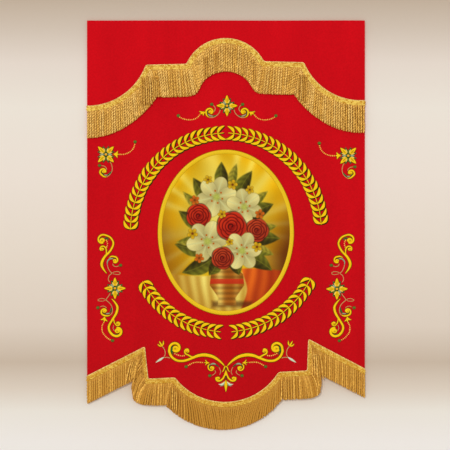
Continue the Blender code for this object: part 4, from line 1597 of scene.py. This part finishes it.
class FLAG_OT_embroidery(bpy.types.Operator):
    """Makes the flowers, scrolls, small leaves and bead rows"""

    bl_idname = "flag.embroidery"
    bl_label = "Embroidery"

    def execute(self, context):
        thread = shared_finish("embroidery_thread", thread_finish)
        sprays = (
            (SIDE_SPRAY, 1, (0, 0)), (SIDE_SPRAY, -1, (0, 0)),
            (CORNER_SPRAY, 1, (0, 0)), (CORNER_SPRAY, -1, CORNER_SHIFT),
            (TOP_SPRAY, 1, (0, 0)), (TOP_SPRAY, -1, (9, 0)),
            (BOTTOM_SPRAY, 1, (0, 0)), (BOTTOM_SPRAY, -1, (0, 0)),
        )
        scrolls = Threads(CLOTH_FRONT)
        chains = []
        for items, mirror, shift in sprays:
            scrolls.spray(items, mirror, shift)
            for item in items:
                if isinstance(item, Chain):
                    path, _ = smooth(np.array([scrolls.at(place) for place in item.places]) / 1000, 0.004)
                    chains.append(before_cloth(path, 0.0004))
        scrolls.spray(BOTTOM_MIDDLE)
        add_piece("embroidered_scrolls", scrolls.mesh("embroidered_scrolls"), thread)
        flowers = Threads(CLOTH_FRONT)
        for item in FLOWERS:
            flowers.flower(item)
        add_piece("embroidered_flowers", flowers.mesh("embroidered_flowers"), thread)
        grow(
            bead_tree(), "bead_rows", guide_mesh("bead_lines", chains), thread, "gold_thread",
            spacing=context.scene.flag_picture.bead_spacing, bead_size=(0.0048, 0.0026, 0.0050), seed=7)
        return {"FINISHED"}


class FLAG_OT_garland(bpy.types.Operator):
    """Makes the leaf garland round the picture"""

    bl_idname = "flag.garland"
    bl_label = "Leaf Garland"

    def execute(self, context):
        settings = context.scene.flag_garland
        thread = shared_finish("embroidery_thread", thread_finish)
        length, width = settings.leaf_length * 1000, settings.leaf_width * 1000
        sprig = Threads(0.0)
        for side in (-1, 1):
            turn = math.radians(40)
            tip = (length * math.cos(turn), side * length * math.sin(turn))
            sprig.petal(Petal("gold", (0, side * 1.0), tip, width, side * 0.16))
        stem = np.array([(-4, 0, 3.4), (10, 0, 3.4), (24, 0, 3.0)]) / 1000
        path, run = smooth(stem, 0.003)
        sprig.band(path, run, 0.0012, "gold")
        leaf = bpy.data.objects.new("garland_sprig", sprig.mesh("garland_sprig"))
        context.scene.collection.objects.link(leaf)
        lines = []
        for first, last in ((178, 95), (5, 85), (210, 263), (332, 277)):
            arc = [
                (OVAL_CENTRE[0] + settings.across * math.cos(a), OVAL_CENTRE[1] + settings.tall * math.sin(a))
                for a in np.radians(np.linspace(first, last, 60))
            ]
            lines.append(before_cloth(arc, 0.0008))
        grow(
            garland_tree(), "leaf_garland", guide_mesh("garland_lines", lines), thread, "gold_thread",
            spacing=settings.spacing, sprig=leaf, shade_offset=(0.0020, 0.0006, -0.0022), seed=4)
        bpy.data.objects.remove(leaf)
        return {"FINISHED"}


class FLAG_OT_stage(bpy.types.Operator):
    """Sets up the wall, floor, lights and camera"""

    bl_idname = "flag.stage"
    bl_label = "Stage"

    def execute(self, context):
        settings = context.scene.flag_stage
        scene = context.scene
        gap = settings.wall_gap
        wall = self.sheet("wall", [(x, gap, z) for x, z in (
            (-6, FLOOR_LEVEL), (6, FLOOR_LEVEL), (6, WALL_TOP), (-6, WALL_TOP))])
        wall.data.materials.append(self.wall_finish())
        for part in ("shadow", "diffuse", "glossy", "transmission"):
            setattr(wall, "visible_" + part, False)
        floor = self.sheet("floor", [(x, y, FLOOR_LEVEL) for x, y in ((-8, -9), (8, -9), (8, 9), (-8, 9))])
        pale = Finish("floor_finish", 0.7, 0.3)
        mottle = pale.noise(pale.place(), 3.0)
        floor.data.materials.append(pale.done(pale.ramp(mottle, (0.3, 0.755), (0.7, 0.765))))

        self.sun("key", settings.key_strength, 5, (0.26, 1.0, -0.40))
        self.sun("back_fill", 0.5, 20, (0.2, -1.0, -0.5))
        world = bpy.data.worlds.new("even_light")
        world.use_nodes = True
        sky = world.node_tree.nodes["Background"]
        sky.inputs["Color"].default_value = (1.0, 0.985, 0.965, 1.0)
        sky.inputs["Strength"].default_value = settings.fill_strength
        scene.world = world

        camera = bpy.data.cameras.new("camera")
        camera.lens = settings.lens
        camera.sensor_width = SENSOR_WIDTH
        scene.camera = self.placed("camera", camera)
        distance = settings.frame_width * settings.lens / SENSOR_WIDTH
        scene.camera.location = (VIEW_CENTRE[0], -distance, VIEW_CENTRE[1])
        scene.camera.rotation_euler = (math.radians(90), 0.0, 0.0)
        scene.view_settings.view_transform = "Standard"
        scene.view_settings.look = "None"
        return {"FINISHED"}

    def placed(self, name, data):
        made = bpy.data.objects.new(name, data)
        bpy.context.scene.collection.objects.link(made)
        return made

    def sheet(self, name, corners):
        return self.placed(name, new_mesh(name, corners, [(0, 1, 2, 3)]))

    def sun(self, name, strength, degrees, direction):
        """Far light that shines in a direction; its angle in degrees softens the shadows."""
        light = bpy.data.lights.new(name, "SUN")
        light.energy = strength
        light.angle = math.radians(degrees)
        holder = self.placed(name, light)
        holder.rotation_euler = Vector(direction).to_track_quat("-Z", "Y").to_euler()

    def wall_finish(self):
        """Pale wall with a soft band of shade above the flag and another low down, clear from behind."""
        finish = Finish("wall_finish", 0.9, 0.0)
        height = finish.split(finish.place())[2]
        share = finish.made("ShaderNodeMapRange", {0: height, 1: -1.52, 2: 0.09})
        tones = (
            (0.00, (237, 232, 226)), (0.07, (233, 227, 216)), (0.12, (219, 206, 190)),
            (0.18, (200, 183, 164)), (0.26, (221, 207, 191)), (0.43, (230, 218, 203)),
            (0.60, (236, 225, 213)), (0.75, (236, 228, 216)), (0.85, (229, 217, 205)),
            (0.93, (209, 194, 178)), (1.00, (192, 174, 154)),
        )
        finish.done(finish.ramp(share, *[(place, colour_value(*tone)) for place, tone in tones]))
        behind = finish.add("ShaderNodeNewGeometry").outputs["Backfacing"]
        clear = finish.made("ShaderNodeBsdfTransparent")
        mix = finish.made("ShaderNodeMixShader", {0: behind, 1: finish.shader.outputs[0], 2: clear})
        finish.tree.links.new(mix, finish.tree.nodes["Material Output"].inputs[0])
        return finish.material


class FLAG_PT_sidebar(bpy.types.Panel):
    """Lists the flag's steps and settings"""

    bl_label = "Devotional Flag"
    bl_idname = "FLAG_PT_sidebar"
    bl_space_type = "VIEW_3D"
    bl_region_type = "UI"
    bl_category = "Flag"

    def draw(self, context):
        for step, group in STEPS:
            box = self.layout.box()
            box.operator(step.bl_idname)
            if group:
                settings = getattr(context.scene, group)
                for label in settings.bl_rna.properties.keys():
                    if label not in ("rna_type", "name"):
                        box.prop(settings, label)


STEPS = (
    (FLAG_OT_cloth, "flag_cloth"),
    (FLAG_OT_upper_fringe, "flag_fringe"),
    (FLAG_OT_lower_fringe, None),
    (FLAG_OT_picture, "flag_picture"),
    (FLAG_OT_embroidery, None),
    (FLAG_OT_garland, "flag_garland"),
    (FLAG_OT_stage, "flag_stage"),
)
GROUPS = {
    "flag_cloth": ClothSettings,
    "flag_fringe": FringeSettings,
    "flag_garland": GarlandSettings,
    "flag_picture": PictureSettings,
    "flag_stage": StageSettings,
}


def register():
    for group in GROUPS.values():
        bpy.utils.register_class(group)
    for step, _ in STEPS:
        bpy.utils.register_class(step)
    bpy.utils.register_class(FLAG_PT_sidebar)
    for name, group in GROUPS.items():
        setattr(bpy.types.Scene, name, PointerProperty(type=group))


def unregister():
    for name in GROUPS:
        delattr(bpy.types.Scene, name)
    bpy.utils.unregister_class(FLAG_PT_sidebar)
    for step, _ in reversed(STEPS):
        bpy.utils.unregister_class(step)
    for group in reversed(GROUPS.values()):
        bpy.utils.unregister_class(group)


def main():
    register()
    bpy.ops.flag.stage()
    bpy.ops.flag.cloth()
    bpy.ops.flag.upper_fringe()
    bpy.ops.flag.lower_fringe()
    bpy.ops.flag.picture()
    bpy.ops.flag.embroidery()
    bpy.ops.flag.garland()


if __name__ == "__main__":
    main()
